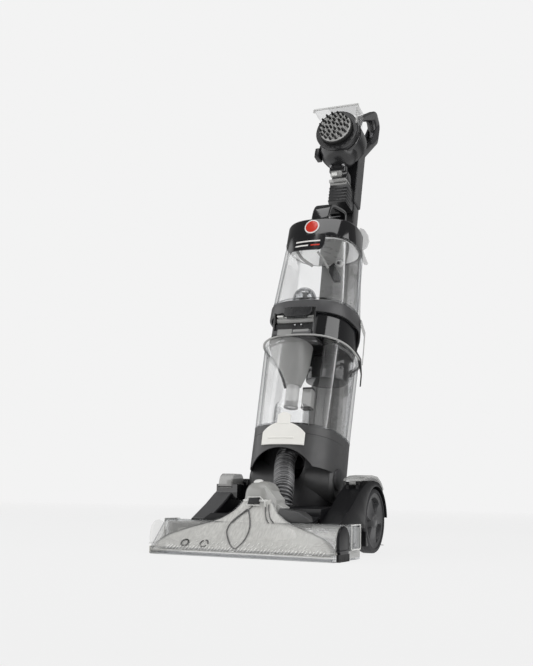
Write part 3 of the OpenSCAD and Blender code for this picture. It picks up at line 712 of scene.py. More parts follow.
def build_casing():
    """The lower casing with its arch, parting line and side hubs."""
    shell = piece("casing", rings([(22, -0.2), (24, 0), (130.5, 0), (131, -0.7), (132, -0.7), (132.5, 0),
        (148.6, 0), (149.6, -0.8), (149.6, -3), (30, -3), (22, -3)], wrap=True), "upright", "shell",
        ("lower_casing",))
    cut(shell, lathe([(80, -220), (80, 90)], (-3, 0, 23), lean, "v", 128))
    cut(shell, box(-120, 120, -190, 10, 0, 70, lean, 0))
    piece("casing_hubs", joined(*[lathe([(0, s * 88), (36, s * 88), (42, s * 82), (42, s * 30),
        (0, s * 30)], (0, -62, 60), lean, "x", 64) for s in (-1, 1)]), "upright", "shell", bevel=1.0)
    piece("casing_roof", rings([(145.2, -3.2), (145.4, -3.1), (149.0, -3.1), (149.3, -3.2)]), "upright",
        "inner")


def build_release_plate():
    """The ivory plate with its raised bar and nub."""
    arch = lambda x: min(152.0, 94 + math.sqrt(max(0, 59 ** 2 - x * x)))
    plate = patch(spread(-44, 45, 40), lambda x: 107.5, arch, 0.35, 3.7, 10)
    nub = patch(spread(-13, 14, 12), lambda x: 148, lambda x: 173 - 0.03 * x * x, 0.35, 4.2, 6)
    bar = patch(spread(-29, 25, 20), lambda x: 119.5, lambda x: 122.5, 3.5, 4.6, 2)
    piece("release_plate_skin", plate, "release_tab", "ivory", ("release_plate",), bevel=0.9, segments=3)
    piece("release_plate_nub", nub, "release_tab", "ivory", bevel=0.8)
    piece("release_plate_bar", bar, "release_tab", "ivory", bevel=0.4)


def build_recovery_tank():
    """The lower tank's wall, flange and bead."""
    piece("lower_tank", rings([(153, 0), (151, 0.5), (150.4, -0.6), (150.4, -6.5), (154, -6.5),
        (326, 2.5), (327, 3.5), (327, 8)], wrap=True), "dirty_tank", "clear", ("recovery_tank",))
    piece("lower_tank_foot", rings([(150.2, 0.2), (152.4, 0.5), (152.6, -2.5), (150.2, -2.5)], wrap=True),
        "dirty_tank", "clear_edge")
    rim = [(327.5, 8, -0.08), (337.0, 9, -0.08), (340.4, 9, -0.08), (341.0, 4.4, -0.08),
        (338.6, 4.2, -0.08), (327.5, 5.0, -0.08)]
    flare = piece("tank_flange", rings(rim, wrap=True), "dirty_tank", "clear", ("tank_rim",))
    piece("tank_bead", rings([(337.8, 11.8, -0.08), (339.4, 13.2, -0.08), (341.0, 11.8, -0.08),
        (340.6, 8.8, -0.08), (338.2, 8.8, -0.08)], wrap=True), "dirty_tank", "bead", slot="clear")
    cut(flare, box(-33.6, 33.6, 18, 90, 300, 360, lean, 0))


def build_separator():
    """The glossy ring with its recess, and the chamber under it."""
    ring_piece = piece("separator_ring", rings([(340.4, -1.2), (341.2, -0.5), (393, -0.5), (393.8, -1.4),
        (393.8, -6), (341, -6)], wrap=True), "dirty_tank", "gloss", ("separator",))
    cut(ring_piece, box(-55, 33, -175, -90, 346, 400, lean, 0))
    piece("separator_well", joined(box(-57, -53, -146, -92, 342, 394, lean, 0.8),
        box(33, 37, -150, -92, 342, 394, lean, 0.8), box(-56, 36, -96, -92, 340, 394, lean, 0.8)),
        "dirty_tank", "gloss")
    piece("separator_slot", box(-54, 34, -142, -93, 352, 371, lean, 2.5), "dirty_tank", "inner",
        slot="black_gloss")
    shelf = [(-142, 379), (-140, 384.5), (-97, 384.5), (-97, 374), (-138, 374)]
    piece("separator_shelf", prism(shelf, lean_side, -52, 32), "dirty_tank", "disc", slot="smoke",
        bevel=1.2, segments=3)
    piece("separator_lip", joined(box(-50, -36, -147, -120, 384.6, 388, lean, 1.2),
        box(-36, -22, -141.5, -120, 384.6, 387, lean, 1.2),
        box(14, 30, -141.5, -120, 384.6, 388, lean, 1.2)), "dirty_tank", "line_white")
    piece("separator_sill", prism([(-158, 341), (-156, 350), (-97, 352), (-97, 341)], lean_side, -52, 32),
        "dirty_tank", "panel", slot="smoke", bevel=1.0)
    piece("separator_plates", joined(box(-40, -8, -158, -150, 338, 352, lean, 1.2),
        box(-6, 28, -157, -150, 340, 351, lean, 1.2)), "dirty_tank", "smoke")
    piece("separator_pins", joined(*[lathe([(0, -3), (1.6, -3), (2.4, -1), (2.4, 1)], (x, -143, 366),
        lean, "v", 16) for x in (-8, 6)]), "dirty_tank", "steel", slot="smoke")
    barrel = [(21.5 + 45 * c, -16 + 36 * v) for c, v in circle(72)]
    piece("separator_chamber", prism(barrel, lean, 285, 341, 3.0), "dirty_tank", "gloss")


def build_funnel():
    """The hopper, its spout and sleeve, and the float."""
    hopper = [(340, -74, 12, -147, -52), (330, -74, 11, -146, -52), (318, -71, 10, -140, -54),
        (300, -60, 8, -131, -58), (280, -47, 5, -120, -66), (262, -38, -1, -110, -74),
        (252, -35, -4, -106, -78)]
    wall = 1.8
    inside = [(w, x0 + wall, x1 - wall, v0 + wall, v1 - wall) for w, x0, x1, v0, v1 in reversed(hopper)]
    walls = [[lean((x0 + x1) / 2 + (x1 - x0) / 2 * spow(math.cos(t), 0.8),
        (v0 + v1) / 2 + (v1 - v0) / 2 * spow(math.sin(t), 0.8), w) for t in turns(72)]
        for w, x0, x1, v0, v1 in hopper + inside]
    piece("funnel_hopper", skin(walls, wrap=True), "dirty_tank", "funnel", ("funnel",))
    piece("funnel_spout", joined(lathe([(13.5, 206), (14, 208), (13.8, 252), (15, 256), (13, 256),
        (12.4, 252), (12, 206)], (-20, -92, 0), lean, "w", 48, True),
        lathe([(15, 205), (15, 208), (12.5, 208), (12.5, 205)], (-20, -92, 0), lean, "w", 48, True)),
        "dirty_tank", "spout", slot="smoke")
    piece("funnel_sleeve", lathe([(36, 156), (36.5, 158), (36, 202), (34, 210), (33, 210), (34.6, 202),
        (34.6, 156)], (-16, -92, 0), lean, "w", 72, True), "dirty_tank", "clear")
    float_case = round_rect(10.5, 10.5, 3.5, 4)
    piece("float_case", prism([(11 + x, -80 + v) for x, v in float_case], lean, 205, 249, 2.0), "float",
        "smoke", ("float_ball",))
    piece("float_bands", joined(prism([(11 + x * 1.04, -80 + v * 1.04) for x, v in float_case], lean, 246,
        249.6), prism([(11 + x * 1.04, -80 + v * 1.04) for x, v in float_case], lean, 206, 208.5)),
        "float", "inner", slot="smoke")


def build_rear_fins():
    """The fins that sweep back and down from the lid and the rim."""
    for side in (-1, 1):
        fin = [(-52, 340), (-20, 335), (8, 312), (19, 288), (14, 286), (2, 306), (-24, 326), (-52, 333)]
        wing = [(-40, 417), (6, 406), (13, 380), (11, 333), (6, 333), (4, 370), (-4, 392), (-40, 404)]
        piece(f"band_fin_{'r' if side > 0 else 'l'}", prism(wing,
            lambda v, w, t, s=side: lean(s * (t + 94 - max(0, v + 30) ** 2 * 0.004), v, w), 0, 2.0),
            "dirty_tank", "rim", bevel=0.5)
        piece(f"rim_fin_{'r' if side > 0 else 'l'}", prism(fin,
            lambda v, w, t, s=side: lean(s * (t + 94 - max(0, v + 30) ** 2 * 0.0045), v, w), 0, 3.0),
            "dirty_tank", "shell", bevel=0.7)


def build_clean_tank():
    """The upper tank's wall, its valve and what shows inside it."""
    piece("upper_tank", rings([(426, 5.5), (424.6, 5.0), (424.4, 3.5), (424.4, -0.5), (428, 0.5),
        (578, -5.5), (579, -4.5), (579, -0.5)], wrap=True), "water_tank", "clear", ("clean_tank",))
    piece("upper_tank_foot", rings([(424.5, 5.6), (427.5, 6.1), (428, 3), (424.5, 3)], wrap=True),
        "water_tank", "clear_edge")
    dome = [(25, 428), (25.4, 430), (25, 452)] + [(25 * math.cos(t), 452 + 25 * math.sin(t))
        for t in spread(0.15, 1.4, 8)] + [(3, 477), (2, 475)]
    dome += [(22.5 * math.cos(t), 452 + 22.5 * math.sin(t)) for t in spread(1.4, 0.15, 8)] + [(22.5, 428)]
    piece("valve_dome", lathe(dome, (-20, -84, 0), lean, "w", 64, True), "water_tank", "clear_edge",
        ("tank_valve",))
    piece("valve_core", joined(lathe([(0, 428), (9, 428), (9, 440), (5, 444), (5, 462), (8, 466),
        (0, 468)], (-20, -84, 0), lean, "w", 32), lathe([(12, 430), (14, 430), (14, 448), (12, 448)],
        (-20, -84, 0), lean, "w", 32, True)), "water_tank", "smoke", slot="clear")
    piece("valve_clips", joined(*[box(-20 + 24 * c - 1.5, -20 + 24 * c + 1.5, -84 + 24 * s - 1.5,
        -84 + 24 * s + 1.5, 428, 446, lean, 0.8) for c, s in circle(3, 1, 0.9)]), "water_tank", "inner",
        slot="clear")
    piece("tank_rods", joined(rod(smooth_path([lean(-40, -108, 556), lean(-28, -100, 540),
        lean(-8, -88, 527)]), 3.4), rod(smooth_path([lean(6, -104, 553), lean(16, -94, 540),
        lean(24, -80, 524)]), 2.6)), "water_tank", "smoke", slot="clear")
    piece("tank_boss", joined(lathe([(0, 0), (7, 0), (8, 2), (8, 7), (0, 7)], (33, -44, 553), lean, "v",
        32)), "water_tank", "disc", slot="clear")
    piece("tank_clip", joined(lathe([(0, -2), (3.6, -2), (4, 0), (0, 0)], (33, -44, 553), lean, "v", 20),
        prism([(14, 546), (24, 552), (40, 520), (40, 508), (26, 508), (14, 530)], lean_front, -48, -38,
        1.5)), "water_tank", "inner", slot="black_gloss")


def build_cap():
    """The glossy cap with its shield, bars and badge."""
    piece("cap_shell", rings([(579.3, -2.6), (579.3, -0.6), (580, 0.5), (620, 0.5), (623.5, -0.8),
        (625.6, -4), (626, -8), (626, -66), (623, -66), (623, -6), (620, -2.6)], wrap=True), "water_tank",
        "gloss", ("tank_cap",))
    piece("cap_roof", rings([(623.2, -64), (625.9, -64)]), "water_tank", "gloss")
    # the ring inside the cap glows by emission: painted light that makes the ceiling read bright
    piece("cap_ceiling", rings([(577.6, -6.2), (578.6, -6.2)]), "water_tank", "lit", slot="clear")
    strip = [(-36, 8), (30, 8), (61, -60), (68, -84), (62, -100), (44, -111), (18, -115)]
    piece("cap_shadow", prism(strip, lean, 576.4, 577.4), "water_tank", "spine", slot="black_gloss")
    shield_low = [(-63, 562.0), (-58, 552.0), (-50, 546.0), (20, 544.0), (27, 548.0), (30, 558.0)]
    piece("cap_shield", patch(spread(-63, 30, 48), lambda x: table_at(shield_low, x), lambda x: 584, 0.3,
        2.2, 6), "water_tank", "gloss", bevel=0.8, segments=3)
    piece("cap_bead", rings([(578.4, 0.2), (579.4, 1.0), (580.4, 0.2), (579.4, -0.8)], wrap=True),
        "water_tank", "clear_edge")
    for row, (x0, x1, h, mat) in enumerate(((-36, 20, 566, "pale"), (-36, -6, 556, "pale"),
            (0, 20, 556, "red"))):
        piece(f"cap_stripe_{row}", patch(spread(x0, x1, 16), lambda x: h - 1.6, lambda x: h + 1.6, 2.0,
            2.6, 2), "water_tank", mat, slot="black_gloss")

    def coin(r0, r1, rise0, rise1, n=56):
        loops = []
        for r, g in ((r0, 0.5), (r0, rise0), (mix(r0, r1, 0.5), rise0 + 0.25), (r1, rise1), (r1, 0.5)):
            loops.append([front(-4 + r * c, 603 + r * s, g) for c, s in circle(n)])
        return skin(loops, wrap=r0 > 0.1)

    piece("badge_disc", coin(0.05, 14.2, 2.5, 2.2), "water_tank", "red", ("badge",))
    piece("badge_ring", coin(14.2, 16.8, 2.4, 2.0), "water_tank", "pale", slot="red_badge")


def build_carry_handle():
    """The carry strap and its feet."""
    strap = [(-94, 622), (-93, 645), (-88, 664), (-76, 678), (-50, 689), (-15, 700), (0, 703), (7, 698),
        (8, 680), (8, 622)]
    path = smooth_path([lean(0, v, w) for v, w in strap], 6)
    flat = round_rect(20, 4.6, 3.2, 4)
    piece("carry_strap", sweep(path, lambda i: flat), "water_tank", "gloss", ("tank_handle",))
    piece("carry_foot", joined(box(-24, 24, -104, -84, 623, 629, lean, 2.5),
        box(-24, 24, -2, 18, 623, 629, lean, 2.5)), "water_tank", "gloss")


def build_spine():
    """The spine, solution tube, cord hook and the lid's latch."""
    cad("spine", "spine", 1.2, 3)
    piece("spine_ribs", joined(*[prism([(41.0, 160), (39.4, 160), (28.4, 390), (30.0, 390)], lean_side,
        x - 1, x + 1) for x in (-20, 0, 20)]), "upright", "duct", slot="dark_shell", bevel=0.3)
    tube = smooth_path([lean(*p) for p in ((38, 80, 66), (38, 80, 300), (38, 80, 500), (38.5, 78, 600),
        (38.5, 74, 636), (34, 68, 656), (28, 62, 676))], 8)
    piece("solution_line", rod(tube, 4, 20), "upright", "clear_edge", ("solution_tube",))
    piece("solution_core", rod(tube, 2.2, 12), "upright", "clear")
    ear = [(18, 672), (18, 700), (24, 712), (34, 707), (44, 692), (48, 676), (44, 660), (36, 652),
        (40, 640), (50, 618), (47, 614), (40, 616), (30, 640), (24, 655)]
    for side in (-1, 1):
        piece(f"hook_ear_{'r' if side > 0 else 'l'}", prism([(side * p, q) for p, q in ear],
            lambda x, w, t: lean(x, t + 0.0012 * x * x, w), 89.3, 94.0), "hook", "ear", () if side < 0
            else ("cord_hook",), slot="smoke", bevel=1.4, segments=3)
    piece("hook_boss", joined(lathe([(0, 76), (9, 76), (10, 77.5), (10, 88), (12, 90), (12, 94), (9, 96),
        (0, 96.5)], (0, 0, 684), lean, "v", 40), prism([(-20, 674), (20, 674), (20, 694), (-20, 694)],
        lean_front, 90, 94)), "hook", "smoke", bevel=0.8)
    cad("stem", "gloss", 1.6, 3)
    cad("cord_gland motor_housing vacuum_motor vacuum_fan hose_cuff", "housing", 1.5, 3)
    piece("lid_front", patch(spread(-36, 36, 40), lambda x: 403.5, lambda x: 421, 3.0, 7.6, 6),
        "dirty_tank", "band", slot="dark_shell", bevel=0.6)
    latch = [(-33, 390.0), (-30, 384.5), (-24, 381.8), (18, 381.0), (25, 383.5), (29, 390.0)]
    piece("latch_lip", joined(patch(spread(-33, 29, 30), lambda x: table_at(latch, x), lambda x: 402.5,
        8.2, 14.5, 6), patch(spread(-26, 20, 20), lambda x: 379, lambda x: 383, 6.0, 11.5, 2)),
        "tank_latch", "handle", ("lid_latch",), bevel=1.8, segments=3)
    cad("tank_lid", "band", 0.9, 3)


# ---- handle
def build_handle():
    outer = hull_outline([(58, 960, 10), (62, 984, 12), (92, 1014, 12), (128, 1042, 14), (168, 1071, 18),
        (186, 1062, 16), (182, 1018, 15), (130, 962, 14), (84, 902, 12), (50, 902, 10)])
    hole = hull_outline([(86, 997, 9), (104, 1008, 10), (150, 1036, 12), (158, 1022, 14), (116, 966, 11),
        (78, 921, 7), (73, 968, 9)])
    mid = (126, 1002)
    for side, label in ((-1, "left"), (1, "right")):
        loops = []
        for i in range(160):
            t = 2 * math.pi * i / 160
            r1, r0 = from_centre(outer, mid, t), from_centre(hole, mid, t)
            c, half = (r1 + r0) / 2, (r1 - r0) / 2
            loop = []
            for k in range(15):
                a = -math.pi / 2 + math.pi * k / 14
                r = c + half * spow(math.sin(a), 0.62)
                loop.append(lean(side * (0.15 + 12.5 * spow(math.cos(a), 0.62)), mid[0] + r * math.cos(t),
                    mid[1] + r * math.sin(t)))
            loops.append(loop)
        loop_part = skin(loops, wrap=True)
        outline = [(34, 752), (78, 752), (78, 912), (66, 918), (34, 918)]
        sleeve = prism(outline, lambda v, w, x, s=side: lean(s * x, v, w), 0.15, 25)
        piece(f"handle_half_{label}", joined(loop_part, sleeve), "upright", "handle",
            (f"handle_{label}",), bevel=2.0, segments=3, angle=50)
    # rubber pads on the rear limb
    for side, label in ((-1, "l"), (1, "r")):
        pad = hull_outline([(184, 1052, 8), (180, 1024, 8), (150, 988, 7)], 60)
        piece(f"grip_pad_{label}", prism(pad, lambda v, w, x, s=side: lean(s * x, v, w), 9.5, 13.2, 1.5),
            "upright", "rubber", ("handle_grip",) if side > 0 else (), slot="soft_rubber")
    cad("trigger", "trigger", 0.8, 3)
    cad("power_switch", "trigger", 0.5, 2)


# ---- hand tool
def build_tool():
    cad("tool_cradle", "handle", 1.0, 3)
    bowl = [(0, 824), (17, 825.5), (29, 831), (38, 841), (44, 854), (46, 868), (45.5, 878), (42, 888),
        (36, 892), (0, 892)]
    head = [(0, 30), (30, 30), (43, 27), (48, 20), (49.5, 8), (50, -12), (49, -24), (48.4, -44),
        (50, -47), (51, -50), (51, -56), (49.8, -58), (40.2, -58), (39.7, -52), (0, -52)]
    piece("tool_bowl", lathe(bowl, (-8, -8, 0), lean, "w", 80), "hand_tool", "handle", ("tool_body",))
    piece("tool_head", lathe(head, (0, 0, 891), lean, "v", 96), "hand_tool", "handle")
    piece("tool_bead", lathe([(49.8, -27), (51.4, -30), (51.4, -33), (49.8, -36)], (0, 0, 891), lean, "v",
        96, True), "hand_tool", "gloss", slot="dark_shell")
    piece("tool_seam", lathe([(44.6, 862), (47.2, 864), (47.4, 868), (45.4, 870)], (-8, -8, 0), lean, "w",
        80, True), "hand_tool", "gloss", slot="dark_shell")
    piece("tool_tab", joined(box(-60, -48, -32, -8, 840, 866, lean, 2.5),
        box(-62, -58, -28, -12, 844, 862, lean, 1.5)), "hand_tool", "handle")
    piece("tool_neck", joined(box(-27, 12, -14, 18, 806, 832, lean, 4.0),
        box(-19, 19, -12, 20, 787, 808, lean, 3.0)), "hand_tool", "gloss", slot="dark_shell")
    piece("tool_joint", joined(box(-20, 6, -19, -10, 792, 806, lean, 2.0),
        box(-24, 18, -15, 22, 779, 787, lean, 2.0)), "hand_tool", "smoke")
    piece("tool_joint_pad", box(-17, -4, -21, -17, 793, 801, lean, 1.5), "hand_tool", "line_white")
    piece("tool_socket", box(-21, 21, -12, 26, 771.5, 778.4, lean, 3.0), "upright", "smoke")
    piece("tool_screws", joined(*[lathe([(0, -19.5), (2.6, -19), (3.4, -17), (3.4, -12)], (x, 0, 822),
        lean, "v", 20) for x in (-22, 8)]), "hand_tool", "steel", slot="dark_shell")
    # clear splash hood over the head
    out = [(-58, 944), (-58, 948), (50, 948), (50, 898), (46, 898), (46, 944)]
    piece("tool_visor", prism(out, lean_front, -66, -24), "hand_tool", "clear", ("tool_hood",), bevel=1.0,
        segments=3)
    edge = [lean(-58, -66, 941), lean(-58, -66, 948), lean(50, -66, 948), lean(50, -66, 898)]
    piece("tool_visor_edge", joined(*[rod([p, q], 2.4, 10) for p, q in zip(edge, edge[1:])]), "hand_tool",
        "rim")
    # turning disc with its pegs
    piece("tool_disc", lathe([(0, -52.5), (37.4, -52.5), (37.8, -62), (37.2, -70), (35.2, -72),
        (20, -72.6), (0, -72.8)], (0, 0, 891), lean, "v", 80), "tool_brush", "disc", ("brush_disc",))
    piece("tool_disc_rim", lathe([(37.6, -54), (39.2, -54), (39.2, -67), (37.6, -68)], (0, 0, 891), lean,
        "v", 80, True), "tool_brush", "bristle")
    pegs = []
    for r, count, start in ((8, 4, 0.3), (17, 8, 0.1), (26, 12, 0.5), (34, 16, 0.2)):
        for c, s in circle(count, r, start):
            peg = [(0, -72), (2.9, -72), (2.7, -76), (2.4, -80), (1.6, -82), (0, -82.4)]
            pegs.append(lathe(peg, (c, 0, 891 + s), lean, "v", 12))
    piece("tool_pegs", joined(*pegs), "tool_brush", "bristle")


# ---- base
BELL = [(8, (174, -193.5)), (14, (173, -190.5)), (24, (169, -181)), (36, (150, -169)),
    (47, (118, -158.5)), (57, (84, -148.5)), (65, (64, -140.5)), (72, (53, -134)), (80, (43, -128.5)),
    (88, (36, -124.5)), (95, (31, -121.8)), (101, (29, -120.5))]


HOOD_SET, MARK = 201, 4.6


def on_hood(x, z, out):
    """A point on the hood's 45-degree front, raised from it towards the front by out."""
    return base(x, z - HOOD_SET - out, z)


def build_hood():
    """The clear outer hood with its lips."""
    outline = [(-193, 4), (-196.6, 5.5), (-197, 9), (-195, 11.5), (-194.6, 14), (-168, 36),
        (-145.5, 57.5), (-140, 60.8), (-128.4, 60.8), (-128.4, 4)]
    loops = []
    for x, ins in ((-178, 3.0), (-177.4, 1.4), (-175.6, 0.3), (-172, 0.0), (172, 0.0), (175.6, 0.3),
            (177.4, 1.4), (178, 3.0)):
        loops.append([base(x, mix(y, -155, ins / 60), mix(z, 28, ins / 60)) for y, z in outline])
    shell = skin(loops)
    n = len(outline)
    open_sides = ({n - 2, n - 1}, {0, n - 1})
    keep = [f for f in shell[1] if {i % n for i in f} not in open_sides]
    piece("hood_shell", (shell[0], keep), "base", "hood", ("nozzle_hood",), solid=2.2, angle=30)
    piece("hood_lips", joined(*[rod([base(x, y, z) for x in spread(-176, 176, 12)], r, 10)
        for y, z, r in ((-196.2, 4.4, 1.5), (-195.4, 12.4, 0.8), (-143, 59.6, 0.9), (-130, 60.4, 1.1))]),
        "base", "clear_edge")
    piece("hood_lip_line", joined(*[rod([base(x, -196.8, 10.4) for x in (a, b)], 0.45, 8)
        for a, b in ((-160, -118), (-112, -20), (-8, 60), (66, 122), (138, 172))]), "base", "line")
    piece("hood_corners", joined(*[rod(smooth_path([base(s * 177, -195, 6), base(s * 177.2, -191, 14),
        base(s * 177.2, -168, 36), base(s * 177.2, -146, 57), base(s * 177, -139, 60)], 4), 1.1, 10)
        for s in (-1, 1)]), "base", "clear_edge")


def build_bell():
    """A raised milky sheet down the hood, then a closed neck up to the elbow."""
    def bell_row(z, steps=36):
        w, y = table_at(BELL, z)
        edge = min(z - HOOD_SET, y + 6) - 0.2 if z < 58 else y + 8
        return [base(-4 * min(1, z / 60) + w * (2 * i / steps - 1),
            mix(y, edge, abs(2 * i / steps - 1) ** 3.2), z) for i in range(steps + 1)]

    heights = spread(8, 63, 22)
    piece("bell_face", skin([bell_row(z) for z in heights], closed=False), "base", "bell",
        ("nozzle_throat",), solid=1.8, angle=60)
    neck = []
    for z in spread(60, 101, 16):
        w, y = table_at(BELL, z)
        back = mix(-127.0, -98.5, (z - 60) / 41)
        cy, hy = (y + back) / 2, (back - y) / 2
        neck.append([base(-4 + 2 * (z - 60) / 41 + w * spow(math.cos(t), 0.7),
            cy + hy * spow(math.sin(t), 0.7), z) for t in turns(64)])
    piece("bell_neck", skin(neck, caps=(False, False)), "base", "bell", slot="clear", solid=1.8, angle=60)
    ridge = []
    for s in (-1, 1):
        pts = []
        for z in spread(9, 98, 26):
            w, y = table_at(BELL, z)
            edge = z - HOOD_SET if z < 58 else y + 6
            pts.append(base(-4 * min(1, z / 60) + s * (w + 0.6), min(edge, y + 8) - 0.6, z))
        ridge.append(rod(smooth_path(pts, 2), 1.3, 10))
    piece("bell_ridge", joined(*ridge), "base", "clear_edge")
    arch = []
    for off, r in ((0, 0.7), (9, 0.5)):
        pts = [on_hood(x, z, -0.8) for x, z in [(-168 + off, 10), (-150 + off, 20 - off / 3),
            (-120, 33 - off / 2), (-80, 44 - off), (-30, 49 - off), (30, 49 - off), (80, 44 - off),
            (120, 33 - off / 2), (150 - off, 20 - off / 3), (168 - off, 10)]]
        arch.append(rod(smooth_path(pts, 4), r, 8))
    piece("bell_steps", joined(*arch), "base", "clear_edge")
    ribs = [rod([on_hood(x, z, MARK), on_hood(x + 3.4, z + 6, MARK)], 0.75, 6)
        for x, z in [(-146 + 6.4 * i, 10.5 + 1.2 * math.sin(i * 1.7)) for i in range(48)]]
    ribs += [rod([on_hood(x, z, MARK), on_hood(x + 2.6, z + 4, MARK)], 0.5, 6)
        for x, z in [(-120 + 8.8 * i, 20.5 + 2.0 * math.sin(i * 2.3)) for i in range(28)]]
    piece("lip_ribs", joined(*ribs), "base", "rib_white", slot="clear")


def build_divider():
    """The petal-shaped divider in the bell."""
    petal = [(-9, 14), (-20, 20), (-32, 32), (-40, 44), (-40, 56), (-34, 66), (-24, 76), (-16, 82),
        (-10, 74), (-3, 62), (2, 50), (3, 38), (0, 26), (-9, 14)]
    front_y = lambda z: table_at(BELL, z)[1] - 1.4
    divider = sweep(smooth_path([base(x, front_y(z), z) for x, z in petal], 5),
        lambda i: round_rect(0.6, 1.3, 0.4, 2), side=(0, -0.7, 0.7))
    fork = [sweep(smooth_path([base(x, front_y(z), z) for x, z in pts], 5),
        lambda i: round_rect(0.5, 1.1, 0.4, 2), side=(0, -0.7, 0.7))
        for pts in ([(-38, 58), (-26, 72), (-12, 84), (-6, 92)], [(18, 92), (20, 80), (26, 68), (34, 60)],
        [(24, 92), (27, 80), (34, 68), (44, 60)])]
    piece("bell_divider", joined(divider, *fork), "base", "line")


def build_marks():
    """Two plain ring marks on the left of the hood."""
    for name, cx, teeth in (("mark_a", -113, 12), ("mark_b", -74, 3)):
        parts = []
        for k in range(teeth):
            start, sector = 2 * math.pi * k / teeth, 2 * math.pi / teeth * (0.72 if teeth == 3 else 0.6)
            arc = [start + sector * i / 6 for i in range(7)]
            parts.append(rod([on_hood(cx + 7.4 * math.cos(t), 21.5 + 5.6 * math.sin(t), 4.8)
                for t in arc], 1.1, 8))
        if teeth > 3:
            arc = [on_hood(cx + 6.0 * c, 21.5 + 4.5 * s, 4.8) for c, s in circle(28)]
            parts.append(rod(arc + [arc[0]], 0.7, 8))
        piece(name, joined(*parts), "base", "inner")


def build_nozzle_sides():
    """The inner wall, sole, side pieces and brush rolls."""
    wall = [(-188, 8), (-190, 10), (-142, 56), (-132, 57), (-132, 54.5), (-141, 53.5)]
    piece("nozzle_inner_wall", prism(wall, base_side, -171, 171), "base", "clear", bevel=0.6)
    cad("nozzle_sole", "clear_edge", 0.6, 2)
    cad("brush_housing", "disc", 1.0, 2)
    cad("spray_bar pump brush_motor belts", "inner", 0.4, 2)
    cad("motor_pulley axle_pins base_screws", "steel", 0.3, 2)
    cad("edge_brackets", "clear_edge", 1.6, 3)
    piece("bracket_rims", joined(*[rod([base(s * 185.6, y, z)
        for y, z in ((-133, 19), (-133, 61), (-87, 61), (-87, 19), (-133, 19))], 1.3, 8)
        for s in (-1, 1)]), "base", "line_white", slot="clear")
    piece("bracket_screws", joined(*[lathe([(0, s * 184), (3.2, s * 184), (3.2, s * 182), (0, s * 182)],
        (0, -110, 26), base, "x", 18) for s in (-1, 1)]), "base", "steel", slot="steel")
    covers = []
    for s, label, hair in ((-1, "left", "pale_bristle"), (1, "right", "bristle")):
        tufts = []
        line = hull_outline([(-163.5, 30, 27), (-163.5, 33, 27)], 48)
        line = [(y, max(z, 12.0)) for y, z in line]
        covers.append(prism(line, lambda y, z, x, s=s: base(s * x, y, z), 178.4, 184, 1.6))
        covers.append(box(*sorted((s * 178.4, s * 185)), -191, -136, 17, 20, base, 0.8))
        for i in range(30):
            y = -189 + i * 1.77
            lean_y = random.uniform(-0.6, 0.6)
            for x in (179.6, 181.4, 183.2):
                tufts.append(rod([base(s * x, y, 13), base(s * (x + random.uniform(-0.4, 0.4)),
                    y + lean_y, 0.3)], 0.75, 6))
        piece(f"edge_tufts_{label}", joined(*tufts), "base", hair, slot="bristle")
    piece("edge_cover_left", joined(*covers[:2]), "base", "hood", slot="clear", angle=45)
    piece("edge_cover_right", joined(*covers[2:]), "base", "pod", ("edge_brushes",), angle=45)
    for body, node, y, turn in (("front_roll", "brush_roll_front", -136, 1),
            ("rear_roll", "brush_roll_rear", -92, -1)):
        piece(f"{body}_core", lathe([(0, -171), (4, -171), (4.4, -167), (11, -166), (12, -165), (12, 165),
            (11, 166), (4.4, 167), (4, 171), (0, 171)], (0, y, 26), base, "x", 32), body, "duct", (node,))
        hairs = []
        for row in (0, 1):
            for i in range(75):
                x = -160 + i * 4.32
                a = row * math.pi + turn * x * 0.034
                for k in range(4):
                    b = a + (k - 1.5) * 0.10
                    end = b + random.uniform(-0.05, 0.05)
                    hairs.append(rod([base(x, y + 11 * math.cos(b), 26 + 11 * math.sin(b)),
                        base(x + random.uniform(-0.7, 0.7), y + 20.6 * math.cos(end),
                        26 + 20.6 * math.sin(end))], 0.95, 5))
        piece(f"{body}_hairs", joined(*hairs), body, "pale_bristle", slot="bristle", angle=80)


